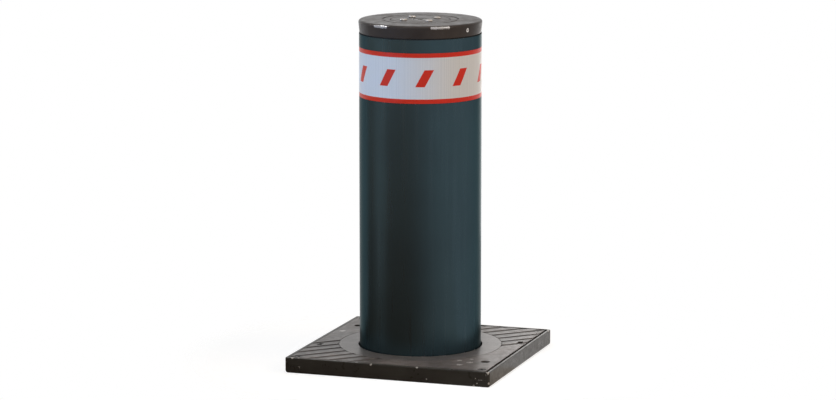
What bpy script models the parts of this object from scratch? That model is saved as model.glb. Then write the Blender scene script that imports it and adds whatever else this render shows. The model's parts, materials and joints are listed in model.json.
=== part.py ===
"""Retractable bollard: a steel post that gas springs lift out of a buried casing, with a key lock in its cap.

Metres, +Z up. The origin is the middle of the ground frame's underside, and the post is raised.
"""

import math

import bmesh
import bpy
from mathutils import Matrix, Vector

# Clearances
FIT = 0.0003          # between pieces that touch
RUN = 0.0006          # between pieces that slide or turn on each other

# Facets of turned pieces
LARGE_STEPS = 48
MEDIUM_STEPS = 24
SMALL_STEPS = 12
SHARP_ANGLE = math.radians(30)
WELD = 0.00001

# Post
POST_OD = 0.2191
POST_WALL = 0.006
POST_RISE = 0.590         # travel, from flush with the cover plate to raised
BAND_DROP = 0.0235        # from the post's top edge to the reflective band
BAND_HEIGHT = 0.089
BAND_THICKNESS = 0.0009
BAND_SUNK = 0.0001        # how far the band lies below the post's surface

# Cap
CAP_HEIGHT = 0.0245
CAP_FLARE = 0.0015        # how far the top rim stands out past the post
CAP_INSET = 0.0010        # how far the lower edge lies inside the post's surface
CAP_BEVEL = 0.0018
CAP_WALL = 0.005
CAP_GROOVE_GAP = 0.0150   # from the lock cover's edge to the groove's middle
CAP_GROOVE_WIDTH = 0.003
CAP_GROOVE_DEPTH = 0.0012
GASKET_HEIGHT = 0.0012
GASKET_INSET = 0.0012
CAP_SCREW_D = 0.008
CAP_SCREW_LENGTH = 0.014
CAP_SCREW_SUNK = 0.0010
CAP_SCREW_COUNT = 2
CAP_SCREW_ANGLE = math.radians(-21.6)

# Head plate in the post's top
HEAD_DROP = 0.008
HEAD_THICKNESS = 0.010
COLLAR_STEP = 0.0035
COLLAR_WALL = 0.012

# Lock cover and key rotor
LOCK_COVER_D = 0.1052
LOCK_COVER_THICKNESS = 0.0075
LOCK_COVER_GAP = 0.0010
LOCK_COVER_BEVEL = 0.0006
LOCK_SCREW_PCD = 0.067
LOCK_SCREW_D = 0.008
LOCK_SCREW_HEAD_D = 0.0130
LOCK_SCREW_HEAD_HEIGHT = 0.0020
LOCK_SCREW_DOME = ((0.55, 1.0), (0.85, 0.7), (1.0, 0.25))   # shares of the head's radius and height
LOCK_SCREW_COUNT = 4
LOCK_SCREW_ANGLE = math.radians(45)
LOCK_SCREW_OVERRUN = 0.002
KEY_D = 0.024
KEY_LIP = 0.004           # thickness of the lock cover above the rotor's flange
KEY_FLANGE_D = 0.036
KEY_JOURNAL_D = 0.018
KEY_SOCKET_ACROSS = 0.010
KEY_SOCKET_DEPTH = 0.009
KEY_SUNK = 0.0005
JOURNAL_OVERRUN = 0.004

# Lock spindle, pinion and rack bolts
SPINDLE_D = 0.014
SPINDLE_JOURNAL_D = 0.012
GEAR_MODULE = 0.0015
PINION_TEETH = 14
PRESSURE_ANGLE = math.radians(20)
ROOT_DEPTH = 1.25         # pinion tooth depth below the pitch circle, in modules
BACKLASH = 0.0004
FLANK_POINTS = 4
RACK_ADDENDUM = 0.0011
RACK_DEDENDUM = 0.00175
RACK_TEETH_AHEAD = 2
KEY_TURN = math.radians(90)
BOLT_WIDTH = 0.0118
BOLT_HEIGHT = 0.018
BOLT_SUNK = 0.0012        # how far a withdrawn bolt's corner lies inside the post's surface
BOLT_HEADROOM = 0.004     # between the guide bush and the bolts
BOLT_GUIDE_LENGTH = 0.040
BOLT_GUIDE_WALL = 0.004
BOLT_GUIDE_FOOT = 0.010
BOLT_GUIDE_INSET = 0.010  # from the post's inner wall
CARRIER_THICKNESS = 0.008

# Ground frame and cover plate
FRAME_HEIGHT = 0.028
FRAME_LEG = 0.006
LEDGE_WIDTH = 0.022
LEDGE_HEIGHT = 0.013
PLATE_GAP = 0.002
PLATE_MARGIN = 0.0346     # narrowest web between the ring and the plate's edge
PLATE_SHELF = 0.0044      # plate thickness under the ring
RING_CLEARANCE = 0.0029   # round the post
RING_WIDTH = 0.0345
RING_SEAT = 0.008
RING_JOINT = 0.0009       # groove between the ring and the plate
RING_BEVEL = 0.0010
GROOVE_COUNT = 7
GROOVE_PITCH = 0.028
GROOVE_WIDTH = 0.011
GROOVE_DEPTH = 0.0025
GROOVE_TURN = math.radians(45)
LIFT_SLOT_LENGTH = 0.024
LIFT_SLOT_WIDTH = 0.009
LIFT_SLOT_DEPTH = 0.0036
LIFT_SLOT_INSET = 0.0130
LIFT_HOLE_D = 0.016
LIFT_HOLE_DEPTH = 0.006
LIFT_HOLE_INSET = 0.0245     # from the plate's side to the hole's middle
LIFT_HOLE_SETBACK = 0.0725   # from the plate's front or back to the hole's middle
COVER_SCREW_D = 0.008
COVER_SCREW_HEAD_D = 0.015
COVER_SCREW_INSET = 0.012
COVER_SCREW_SUNK = 0.0008
COVER_SCREW_CLEAR = 0.002

# Casing
GUIDE_SPACE = 0.02195     # between the post and the casing
CASING_WALL = 0.005
FLANGE_THICKNESS = 0.008
FLANGE_INSET = 0.015
BASE_THICKNESS = 0.010
BASE_MARGIN = 0.012
DRAIN_OD = 0.060
DRAIN_WALL = 0.003
DRAIN_REACH = 0.050
DRAIN_RISE = 0.060
ANCHOR_D = 0.012
ANCHOR_COUNT = 4
ANCHOR_ANGLE = math.radians(45)
ANCHOR_TOP = 0.300        # below the frame
ANCHOR_LEG = 0.180
ANCHOR_REACH = 0.055
ANCHOR_HOOK = 0.050
ANCHOR_BEND = 0.022
ANCHOR_BEND_POINTS = 6

# Guides and stops
BUSH_FLANGE = 0.006
BUSH_LENGTH = 0.048
WIPER_LAND = 0.001        # between the wiper and the plate's bore
WIPER_OPEN = 0.007        # between the post and the wiper's body
WIPER_LIP_CLEARANCE = 0.0006
WIPER_LIP = 0.003
STOP_CLEARANCE = 0.0035
STOP_THICKNESS = 0.015
BUFFER_HEIGHT = 0.012
FOOT_HEIGHT = 0.040
RAIL_DEPTH = 0.008
RAIL_WIDTH = 0.020
BUMP_COUNT = 3
BUMP_HEIGHT = 0.045
BUMP_CLEARANCE = 0.0030
BUMP_TAPER = 0.0025
BUMP_ANGLE = math.radians(90)

# Gas springs
SPRING_OD = 0.028
SPRING_WALL = 0.0015
SPRING_FLOOR = 0.004
SPRING_HOLE_CLEARANCE = 0.002
SPRING_WEB = 0.005        # carrier left between a bolt guide and a spring's hole
SPRING_SLACK = 0.006      # left between rod collar and gland with the post down
GLAND_LENGTH = 0.016
GLAND_FLANGE = 0.005
ROD_D = 0.010
ROD_STUD_D = 0.008
ROD_COLLAR_D = 0.016
ROD_COLLAR_HEIGHT = 0.005
ROD_STUD_OVERRUN = 0.009
PISTON_LENGTH = 0.018
PISTON_GAP = 0.008        # between gland and piston with the post up
NUT_ACROSS = 0.013
NUT_HEIGHT = 0.0065
PIN_D = 0.008
PIN_HEAD_D = 0.012
PIN_HEAD = 0.0025
PIN_OVERRUN = 0.003
PIN_RISE = 0.025          # pin above the casing's floor
LUG_THICKNESS = 0.008
LUG_RADIUS = 0.010
EAR_THICKNESS = 0.005
EAR_WIDTH = 0.020
CLEVIS_FLOOR = 0.006

# Radii and sides that follow from these
POST_R = POST_OD / 2
POST_INNER_R = POST_R - POST_WALL
CAP_RIM_R = POST_R + CAP_FLARE
CAP_FOOT_R = POST_R - CAP_INSET
COLLAR_R = POST_INNER_R - COLLAR_STEP
LOCK_COVER_R = LOCK_COVER_D / 2
CASING_INNER_R = POST_R + GUIDE_SPACE
CASING_R = CASING_INNER_R + CASING_WALL
RING_INNER_R = POST_R + RING_CLEARANCE
RING_R = RING_INNER_R + RING_WIDTH
PLATE_HALF = RING_R + RING_JOINT + PLATE_MARGIN
FRAME_HALF = PLATE_HALF + PLATE_GAP + FRAME_LEG
PINION_R = GEAR_MODULE * PINION_TEETH / 2
BOLT_TRAVEL = PINION_R * KEY_TURN
BOLT_INNER_X = PINION_R + RACK_DEDENDUM
BOLT_OUTER_X = BOLT_INNER_X + BOLT_WIDTH
BOLT_TIP = math.sqrt((POST_R - BOLT_SUNK) ** 2 - BOLT_OUTER_X ** 2)
GUIDE_OUTER_X = BOLT_OUTER_X + RUN + BOLT_GUIDE_WALL + BOLT_GUIDE_FOOT
SPRING_R = SPRING_OD / 2
SPRING_HOLE_R = SPRING_R + SPRING_HOLE_CLEARANCE
SPRING_X = GUIDE_OUTER_X + SPRING_WEB + SPRING_HOLE_R
CASING_FLAT = CASING_INNER_R * math.cos(math.pi / LARGE_STEPS)   # to the middle of a facet
RAIL_OUTER_X = math.sqrt((CASING_FLAT - FIT) ** 2 - (RAIL_WIDTH / 2) ** 2)
RAIL_INNER_X = RAIL_OUTER_X - RAIL_DEPTH

# Levels, from the cap down to the casing's base
PLATE_TOP = FRAME_HEIGHT
CAP_TOP = PLATE_TOP + POST_RISE
POST_TOP = CAP_TOP - CAP_HEIGHT
CAP_FOOT = POST_TOP + GASKET_HEIGHT + 2 * FIT
RECESS_FLOOR = CAP_TOP - LOCK_COVER_THICKNESS - FIT
BOSS_FOOT = RECESS_FLOOR - CAP_WALL
COLLAR_TOP = CAP_TOP - CAP_WALL - FIT
HEAD_TOP = POST_TOP - HEAD_DROP
HEAD_FOOT = HEAD_TOP - HEAD_THICKNESS
JOURNAL_FOOT = HEAD_FOOT - JOURNAL_OVERRUN
BAND_TOP = POST_TOP - BAND_DROP
BAND_FOOT = BAND_TOP - BAND_HEIGHT
PLATE_FOOT = LEDGE_HEIGHT + FIT
RING_FOOT = PLATE_FOOT + PLATE_SHELF + FIT
BOLT_TOP = -BUSH_LENGTH - BOLT_HEADROOM
BOLT_FOOT = BOLT_TOP - BOLT_HEIGHT
STOP_TOP = BOLT_FOOT - RUN
STOP_FOOT = STOP_TOP - STOP_THICKNESS
CARRIER_TOP = BOLT_FOOT - RUN
CARRIER_FOOT = CARRIER_TOP - CARRIER_THICKNESS
BUFFER_TOP = STOP_FOOT - FIT
BUFFER_FOOT = BUFFER_TOP - BUFFER_HEIGHT
FOOT_TOP = BUFFER_FOOT - FIT
POST_FOOT = FOOT_TOP - FOOT_HEIGHT
BUMP_TOP = POST_FOOT - POST_RISE - FIT
FLOOR = BUMP_TOP - BUMP_HEIGHT - FIT
BASE_FOOT = FLOOR - BASE_THICKNESS
ROD_COLLAR_FOOT = HEAD_FOOT - FIT - ROD_COLLAR_HEIGHT
GLAND_TOP = ROD_COLLAR_FOOT - POST_RISE - SPRING_SLACK
BARREL_TOP = GLAND_TOP - GLAND_FLANGE - FIT
GLAND_FOOT = BARREL_TOP - GLAND_LENGTH
PISTON_TOP = GLAND_FOOT - PISTON_GAP
PIN_LEVEL = FLOOR + PIN_RISE
BARREL_FOOT = PIN_LEVEL + LUG_RADIUS


def clear_scene():
    """Remove whatever the file holds."""
    for obj in list(bpy.data.objects):
        bpy.data.objects.remove(obj, do_unlink=True)


def new_collection(name):
    collection = bpy.data.collections.new(name)
    bpy.context.scene.collection.children.link(collection)
    return collection


def new_material(name, color, roughness, metallic):
    material = bpy.data.materials.new(name)
    material.use_nodes = True
    shader = material.node_tree.nodes["Principled BSDF"]
    shader.inputs["Base Color"].default_value = (*color, 1.0)
    shader.inputs["Roughness"].default_value = roughness
    shader.inputs["Metallic"].default_value = metallic
    return material


clear_scene()
PARTS = new_collection("retractable_bollard")
CUTTERS = new_collection("cutters")

FINISHES = {
    "post_paint": ((0.035, 0.058, 0.070), 0.38, 0.0),
    "cast_grey": ((0.085, 0.080, 0.078), 0.50, 0.6),
    "plate_grey": ((0.110, 0.108, 0.110), 0.50, 0.6),
    "frame_grey": ((0.090, 0.088, 0.088), 0.55, 0.5),
    "ring_steel": ((0.190, 0.185, 0.185), 0.40, 0.9),
    "zinc": ((0.450, 0.460, 0.470), 0.45, 0.9),
    "steel": ((0.500, 0.500, 0.500), 0.30, 1.0),
    "black_paint": ((0.020, 0.020, 0.022), 0.40, 0.0),
    "rubber": ((0.015, 0.015, 0.015), 0.80, 0.0),
    "guide_plastic": ((0.600, 0.580, 0.500), 0.50, 0.0),
    "band_film": ((0.480, 0.500, 0.540), 0.35, 0.0),
}


def add_empty(name, parent=None):
    """A pivot at the origin: every joint's axis passes through it."""
    empty = bpy.data.objects.new(name, None)
    empty.parent = parent
    PARTS.objects.link(empty)
    return empty


HOUSING = add_empty("housing_frame")
POST = add_empty("post_slide", HOUSING)
KEY = add_empty("key_turn", POST)
FRONT_BOLT = add_empty("front_bolt_slide", POST)
REAR_BOLT = add_empty("rear_bolt_slide", POST)


def add_part(name, mesh, finish, parent, location=(0, 0, 0), rotation=(0, 0, 0)):
    """One sub-part with its own material."""
    obj = bpy.data.objects.new(name, mesh)
    obj.location = location
    obj.rotation_euler = rotation
    obj.parent = parent
    material = new_material(name + "_" + finish, *FINISHES[finish])
    obj.data.materials.clear()
    obj.data.materials.append(material)
    PARTS.objects.link(obj)
    return obj


def add_cutter(name, mesh, location=(0, 0, 0), rotation=(0, 0, 0)):
    obj = bpy.data.objects.new(name, mesh)
    obj.location = location
    obj.rotation_euler = rotation
    obj.hide_render = True
    obj.display_type = "WIRE"
    CUTTERS.objects.link(obj)
    return obj


def combine(obj, other, operation):
    """Boolean that keeps the other object as a wire helper."""
    modifier = obj.modifiers.new(operation.title(), "BOOLEAN")
    modifier.operation = operation
    modifier.solver = "EXACT"
    modifier.object = other


def cut(obj, cutter):
    combine(obj, cutter, "DIFFERENCE")


def join(obj, other):
    combine(obj, other, "UNION")


def evaluated_mesh(draft):
    """The draft object's evaluated mesh; the draft is removed."""
    bpy.context.scene.collection.objects.link(draft)
    depsgraph = bpy.context.evaluated_depsgraph_get()
    mesh = bpy.data.meshes.new_from_object(draft.evaluated_get(depsgraph))
    bpy.data.objects.remove(draft, do_unlink=True)
    return mesh


def smooth(mesh):
    mesh.shade_smooth()
    mesh.set_sharp_from_angle(angle=SHARP_ANGLE)
    return mesh


def turned(name, profile, steps, closed=True):
    """Profile of (radius, height) turned round Z. It runs down its outer side, then back up inside.

    An open profile starts and ends on the axis.
    """
    last = len(profile) - 1
    edges = [(index, index + 1) for index in range(last)]
    if closed:
        edges.append((last, 0))
    mesh = bpy.data.meshes.new(name)
    mesh.from_pydata([(radius, 0, height) for radius, height in profile], edges, [])
    draft = bpy.data.objects.new(name, mesh)
    screw = draft.modifiers.new("Turn", "SCREW")
    screw.steps = steps
    screw.render_steps = steps
    screw.use_merge_vertices = True
    screw.merge_threshold = WELD
    return smooth(evaluated_mesh(draft))


def ring(name, inner, outer, low, high, steps=LARGE_STEPS):
    """Plain ring between two radii and two levels."""
    return turned(name, [(outer, high), (outer, low), (inner, low), (inner, high)], steps)


def bars(name, boxes, turn=0.0):
    """Boxes, each given by its low and high corner, in one mesh turned about Z."""
    work = bmesh.new()
    for low, high in boxes:
        size = Vector(high) - Vector(low)
        place = Matrix.Translation((Vector(low) + Vector(high)) / 2) @ Matrix.Diagonal((*size, 1))
        bmesh.ops.create_cube(work, size=1, matrix=place)
    bmesh.ops.transform(work, matrix=Matrix.Rotation(turn, 4, "Z"), verts=work.verts)
    return finished(name, work)


def rods(name, places, radius, length, steps, axis="Z"):
    """Cylinders along one axis, each centred on its place, in one mesh."""
    turns = {
        "X": Matrix.Rotation(math.pi / 2, 4, "Y"),
        "Y": Matrix.Rotation(math.pi / 2, 4, "X"),
        "Z": Matrix.Identity(4),
    }
    work = bmesh.new()
    for place in places:
        bmesh.ops.create_cone(
            work, cap_ends=True, segments=steps, radius1=radius, radius2=radius, depth=length,
            matrix=Matrix.Translation(place) @ turns[axis],
        )
    return finished(name, work)


def finished(name, work):
    mesh = bpy.data.meshes.new(name)
    work.to_mesh(mesh)
    work.free()
    return mesh


def flat(name, outline, thickness):
    """Closed outline in XY as a plate, centred on its own plane."""
    curve = bpy.data.curves.new(name, "CURVE")
    curve.dimensions = "2D"
    curve.fill_mode = "BOTH"
    curve.extrude = thickness / 2
    spline = curve.splines.new("POLY")
    spline.points.add(len(outline) - 1)
    for point, (x, y) in zip(spline.points, outline):
        point.co = (x, y, 0, 1)
    spline.use_cyclic_u = True
    mesh = evaluated_mesh(bpy.data.objects.new(name, curve))
    return welded(mesh)


def welded(mesh):
    """Sew a curve's loose caps to its sides."""
    work = bmesh.new()
    work.from_mesh(mesh)
    bmesh.ops.remove_doubles(work, verts=work.verts, dist=WELD)
    work.to_mesh(mesh)
    work.free()
    return mesh


def on_circle(radius, count, start, level=0.0):
    """Points spaced evenly round the axis."""
    angles = [start + math.tau * index / count for index in range(count)]
    return [Vector((radius * math.cos(angle), radius * math.sin(angle), level)) for angle in angles]


def hexagon(across):
    """Corners of a hexagon with two flats facing along Y."""
    corner = across / math.sqrt(3)
    return [(point.x, point.y) for point in on_circle(corner, 6, 0.0)]


# Post
def build_post_tube():
    recess_r = POST_R - BAND_SUNK - BAND_THICKNESS - FIT
    tube = turned("post_tube", [
        (POST_R, POST_TOP),
        (POST_R, BAND_TOP + FIT),
        (recess_r, BAND_TOP + FIT),
        (recess_r, BAND_FOOT - FIT),
        (POST_R, BAND_FOOT - FIT),
        (POST_R, POST_FOOT),
        (POST_INNER_R, POST_FOOT),
        (POST_INNER_R, POST_TOP),
    ], LARGE_STEPS)
    obj = add_part("post_tube", tube, "post_paint", POST)
    slot_low = (BOLT_INNER_X - RUN, POST_INNER_R / 2, BOLT_FOOT - RUN)
    slot_high = (BOLT_OUTER_X + RUN, POST_R + POST_WALL, BOLT_TOP + RUN)
    rear = bars("bolt_slot", [(slot_low, slot_high)])
    cut(obj, add_cutter("rear_bolt_slot", rear))
    cut(obj, add_cutter("front_bolt_slot", rear, rotation=(0, 0, math.pi)))


def build_band():
    outer = POST_R - BAND_SUNK
    add_part(
        "reflective_band",
        ring("reflective_band", outer - BAND_THICKNESS, outer, BAND_FOOT, BAND_TOP),
        "band_film", POST,
    )


# Cap, its gasket and its grub screws
def cap_screw_level():
    return (CAP_FOOT + CAP_TOP) / 2


def cap_screw_tip():
    """Radius of a grub screw's outer end: the tapered side's radius there, less its depth."""
    share = (CAP_TOP - CAP_BEVEL - cap_screw_level()) / (CAP_TOP - CAP_BEVEL - CAP_FOOT)
    return CAP_RIM_R + (CAP_FOOT_R - CAP_RIM_R) * share - CAP_SCREW_SUNK


def cap_screw_cutter(name):
    """Radial holes that pass the cap's skirt and the head plate's collar."""
    inner = cap_screw_tip() - CAP_SCREW_LENGTH - FIT
    length = CAP_RIM_R + CAP_FLARE - inner
    work = bmesh.new()
    for index in range(CAP_SCREW_COUNT):
        angle = CAP_SCREW_ANGLE + math.tau * index / CAP_SCREW_COUNT
        middle = Matrix.Translation((inner + length / 2, 0, cap_screw_level()))
        place = Matrix.Rotation(angle, 4, "Z") @ middle
        bmesh.ops.create_cone(
            work, cap_ends=True, segments=SMALL_STEPS, radius1=CAP_SCREW_D / 2 + FIT,
            radius2=CAP_SCREW_D / 2 + FIT, depth=length, matrix=place @ Matrix.Rotation(math.pi / 2, 4, "Y"),
        )
    return add_cutter(name, finished(name, work))


def lock_screw_cutter(name):
    length = CAP_TOP - HEAD_TOP
    places = on_circle(LOCK_SCREW_PCD / 2, LOCK_SCREW_COUNT, LOCK_SCREW_ANGLE, CAP_TOP - length / 4)
    return add_cutter(name, rods(name, places, LOCK_SCREW_D / 2 + FIT, length, SMALL_STEPS))


def build_cap():
    recess_r = LOCK_COVER_R + LOCK_COVER_GAP
    boss_r = recess_r + CAP_WALL
    hole_r = KEY_JOURNAL_D / 2 + RUN
    groove_r = LOCK_COVER_R + CAP_GROOVE_GAP
    groove_in = groove_r - CAP_GROOVE_WIDTH / 2
    groove_out = groove_r + CAP_GROOVE_WIDTH / 2
    groove_floor = CAP_TOP - CAP_GROOVE_DEPTH
    cap = turned("cap", [
        (CAP_RIM_R - CAP_BEVEL, CAP_TOP),
        (CAP_RIM_R, CAP_TOP - CAP_BEVEL),
        (CAP_FOOT_R, CAP_FOOT),
        (COLLAR_R + FIT, CAP_FOOT),
        (COLLAR_R + FIT, CAP_TOP - CAP_WALL),
        (boss_r, CAP_TOP - CAP_WALL),
        (boss_r, BOSS_FOOT),
        (hole_r, BOSS_FOOT),
        (hole_r, RECESS_FLOOR),
        (recess_r, RECESS_FLOOR),
        (recess_r, CAP_TOP),
        (groove_in, CAP_TOP),
        (groove_in, groove_floor),
        (groove_out, groove_floor),
        (groove_out, CAP_TOP),
    ], LARGE_STEPS)
    obj = add_part("cap", cap, "cast_grey", POST)
    cut(obj, cap_screw_cutter("cap_screw_holes"))
    cut(obj, lock_screw_cutter("cap_lock_screw_holes"))


def build_gasket():
    low = POST_TOP + FIT
    add_part(
        "cap_gasket",
        ring("cap_gasket", POST_INNER_R, POST_R - GASKET_INSET, low, low + GASKET_HEIGHT),
        "rubber", POST,
    )


def build_cap_screws():
    """Socket grub screws: turned upright, then laid along the radius."""
    screw = turned("cap_screw", [
        (0, 0),
        (CAP_SCREW_D / 2, 0),
        (CAP_SCREW_D / 2, -CAP_SCREW_LENGTH),
        (0, -CAP_SCREW_LENGTH),
    ], SMALL_STEPS, closed=False)
    socket = flat("cap_screw_socket", hexagon(CAP_SCREW_D / 2), CAP_SCREW_D)
    places = on_circle(cap_screw_tip(), CAP_SCREW_COUNT, CAP_SCREW_ANGLE, cap_screw_level())
    for index, place in enumerate(places):
        turn = (0, math.pi / 2, CAP_SCREW_ANGLE + math.tau * index / CAP_SCREW_COUNT)
        obj = add_part(f"cap_screw_{index + 1}", screw.copy(), "steel", POST, place, turn)
        cut(obj, add_cutter(f"cap_screw_socket_{index + 1}", socket, place, turn))


# Head plate
def build_head_plate():
    disc_r = POST_INNER_R - FIT
    hole_r = KEY_JOURNAL_D / 2 + RUN
    collar_inner = COLLAR_R - COLLAR_WALL
    plate = turned("head_plate", [
        (COLLAR_R, COLLAR_TOP),
        (COLLAR_R, HEAD_TOP),
        (disc_r, HEAD_TOP),
        (disc_r, HEAD_FOOT),
        (hole_r, HEAD_FOOT),
        (hole_r, HEAD_TOP),
        (collar_inner, HEAD_TOP),
        (collar_inner, COLLAR_TOP),
    ], LARGE_STEPS)
    obj = add_part("head_plate", plate, "black_paint", POST)
    cut(obj, cap_screw_cutter("collar_screw_holes"))
    places = [(side * SPRING_X, 0, (HEAD_TOP + HEAD_FOOT) / 2) for side in (-1, 1)]
    holes = rods("rod_stud_holes", places, ROD_STUD_D / 2 + FIT, 2 * HEAD_THICKNESS, SMALL_STEPS)
    cut(obj, add_cutter("rod_stud_holes", holes))


# Lock: cover, key rotor, spindle, bolts and what guides them
def build_lock_cover():
    key_hole = KEY_D / 2 + RUN
    flange_hole = KEY_FLANGE_D / 2 + RUN
    low = RECESS_FLOOR + FIT
    cover = turned("lock_cover", [
        (LOCK_COVER_R - LOCK_COVER_BEVEL, CAP_TOP),
        (LOCK_COVER_R, CAP_TOP - LOCK_COVER_BEVEL),
        (LOCK_COVER_R, low),
        (flange_hole, low),
        (flange_hole, CAP_TOP - KEY_LIP),
        (key_hole, CAP_TOP - KEY_LIP),
        (key_hole, CAP_TOP),
    ], LARGE_STEPS)
    obj = add_part("lock_cover", cover, "cast_grey", POST)
    cut(obj, lock_screw_cutter("cover_lock_screw_holes"))


def build_lock_screws():
    """Low domed heads on the cover, with shanks down through the cap's boss."""
    head_r = LOCK_SCREW_HEAD_D / 2
    shank_r = LOCK_SCREW_D / 2
    top = FIT + LOCK_SCREW_HEAD_HEIGHT
    dome = [(share * head_r, FIT + rise * LOCK_SCREW_HEAD_HEIGHT) for share, rise in LOCK_SCREW_DOME]
    shank_foot = BOSS_FOOT - CAP_TOP - LOCK_SCREW_OVERRUN
    screw = turned("lock_cover_screw", [
        (0, top),
        *dome,
        (head_r, FIT),
        (shank_r, FIT),
        (shank_r, shank_foot),
        (0, shank_foot),
    ], SMALL_STEPS, closed=False)
    places = on_circle(LOCK_SCREW_PCD / 2, LOCK_SCREW_COUNT, LOCK_SCREW_ANGLE, CAP_TOP)
    for index, place in enumerate(places):
        add_part(f"lock_cover_screw_{index + 1}", screw.copy(), "steel", POST, place)


def build_key_rotor():
    flange_top = CAP_TOP - KEY_LIP - RUN
    rotor = turned("key_rotor", [
        (0, CAP_TOP - KEY_SUNK),
        (KEY_D / 2, CAP_TOP - KEY_SUNK),
        (KEY_D / 2, flange_top),
        (KEY_FLANGE_D / 2, flange_top),
        (KEY_FLANGE_D / 2, RECESS_FLOOR + FIT),
        (KEY_JOURNAL_D / 2, RECESS_FLOOR + FIT),
        (KEY_JOURNAL_D / 2, JOURNAL_FOOT),
        (0, JOURNAL_FOOT),
    ], MEDIUM_STEPS, closed=False)
    obj = add_part("key_rotor", rotor, "steel", KEY)
    socket = flat("key_socket", hexagon(KEY_SOCKET_ACROSS), 2 * KEY_SOCKET_DEPTH)
    cut(obj, add_cutter("key_socket", socket, (0, 0, CAP_TOP - KEY_SUNK)))


def tooth_half_width():
    """Half of a tooth's thickness on the pitch line."""
    return (math.pi * GEAR_MODULE / 2 - BACKLASH / 2) / 2


def pinion_outline():
    """Involute teeth, one of them pointing along +X."""
    base_r = PINION_R * math.cos(PRESSURE_ANGLE)
    root_r = PINION_R - ROOT_DEPTH * GEAR_MODULE
    tip_r = PINION_R + GEAR_MODULE

    def half_angle(radius):
        angle = math.acos(base_r / radius)
        pitch_part = tooth_half_width() / PINION_R + math.tan(PRESSURE_ANGLE) - PRESSURE_ANGLE
        return pitch_part - (math.tan(angle) - angle)

    step = (tip_r - base_r) / (FLANK_POINTS - 1)
    flank = [(base_r + step * index, half_angle(base_r + step * index)) for index in range(FLANK_POINTS)]
    rising = [(root_r, flank[0][1])] + flank
    points = []
    for tooth in range(PINION_TEETH):
        middle = math.tau * tooth / PINION_TEETH
        side = [(radius, middle - half) for radius, half in rising]
        side += [(radius, middle + half) for radius, half in reversed(rising)]
        points += [(radius * math.cos(angle), radius * math.sin(angle)) for radius, angle in side]
    return points


def build_lock_spindle():
    top = JOURNAL_FOOT - FIT
    collar_foot = CARRIER_TOP + RUN
    spindle = turned("lock_spindle", [
        (0, top),
        (SPINDLE_D / 2, top),
        (SPINDLE_D / 2, collar_foot),
        (SPINDLE_JOURNAL_D / 2, collar_foot),
        (SPINDLE_JOURNAL_D / 2, CARRIER_FOOT - RUN),
        (0, CARRIER_FOOT - RUN),
    ], SMALL_STEPS, closed=False)
    obj = add_part("lock_spindle", spindle, "steel", KEY)
    face = BOLT_HEIGHT - 2 * RUN
    pinion = flat("pinion", pinion_outline(), face)
    join(obj, add_cutter("pinion", pinion, (0, 0, collar_foot + RUN + face / 2)))


def bolt_outline():
    """The rear bolt seen from above: a bar along Y with rack teeth on its inner side."""
    pitch = math.pi * GEAR_MODULE
    behind = math.ceil(BOLT_TRAVEL / pitch) + RACK_TEETH_AHEAD
    tail = -(behind + 0.5) * pitch
    slope = math.tan(PRESSURE_ANGLE)
    tip_half = tooth_half_width() - RACK_ADDENDUM * slope
    root_half = tooth_half_width() + RACK_DEDENDUM * slope
    tip_x = PINION_R - RACK_ADDENDUM
    points = [(BOLT_OUTER_X, BOLT_TIP), (BOLT_OUTER_X, tail), (BOLT_INNER_X, tail)]
    for tooth in range(-behind, RACK_TEETH_AHEAD):
        middle = (tooth + 0.5) * pitch
        points += [
            (BOLT_INNER_X, middle - root_half),
            (tip_x, middle - tip_half),
            (tip_x, middle + tip_half),
            (BOLT_INNER_X, middle + root_half),
        ]
    points.append((BOLT_INNER_X, BOLT_TIP))
    return points


def build_lock_bolts():
    bolt = flat("lock_bolt", bolt_outline(), BOLT_HEIGHT)
    place = (0, 0, (BOLT_TOP + BOLT_FOOT) / 2)
    add_part("lock_bolt_rear", bolt, "steel", REAR_BOLT, place)
    add_part("lock_bolt_front", bolt.copy(), "steel", FRONT_BOLT, place, (0, 0, math.pi))


def build_bolt_guides():
    """Hat sections over the bolts, standing on the carrier."""
    low = CARRIER_TOP + FIT
    roof = BOLT_TOP + RUN
    crown = roof + BOLT_GUIDE_WALL
    inner = BOLT_INNER_X - RUN
    outer = BOLT_OUTER_X + RUN
    foot_top = low + BOLT_GUIDE_WALL
    outline = [
        (inner, low),
        (inner, roof),
        (outer, roof),
        (outer, low),
        (GUIDE_OUTER_X, low),
        (GUIDE_OUTER_X, foot_top),
        (outer + BOLT_GUIDE_WALL, foot_top),
        (outer + BOLT_GUIDE_WALL, crown),
        (inner - BOLT_GUIDE_WALL, crown),
        (inner - BOLT_GUIDE_WALL, low),
    ]
    guide = flat("bolt_guide", outline, BOLT_GUIDE_LENGTH)
    middle = POST_INNER_R - BOLT_GUIDE_INSET - BOLT_GUIDE_LENGTH / 2
    upright = math.pi / 2
    add_part("bolt_guide_rear", guide, "zinc", POST, (0, middle, 0), (upright, 0, 0))
    add_part("bolt_guide_front", guide.copy(), "zinc", POST, (0, -middle, 0), (upright, 0, math.pi))


def build_lock_carrier():
    disc = ring(
        "lock_carrier", SPINDLE_JOURNAL_D / 2 + RUN, POST_INNER_R - FIT, CARRIER_FOOT, CARRIER_TOP,
    )
    obj = add_part("lock_carrier", disc, "black_paint", POST)
    places = [(side * SPRING_X, 0, (CARRIER_TOP + CARRIER_FOOT) / 2) for side in (-1, 1)]
    holes = rods("spring_holes", places, SPRING_HOLE_R, 2 * CARRIER_THICKNESS, MEDIUM_STEPS)
    cut(obj, add_cutter("spring_holes", holes))


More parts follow.
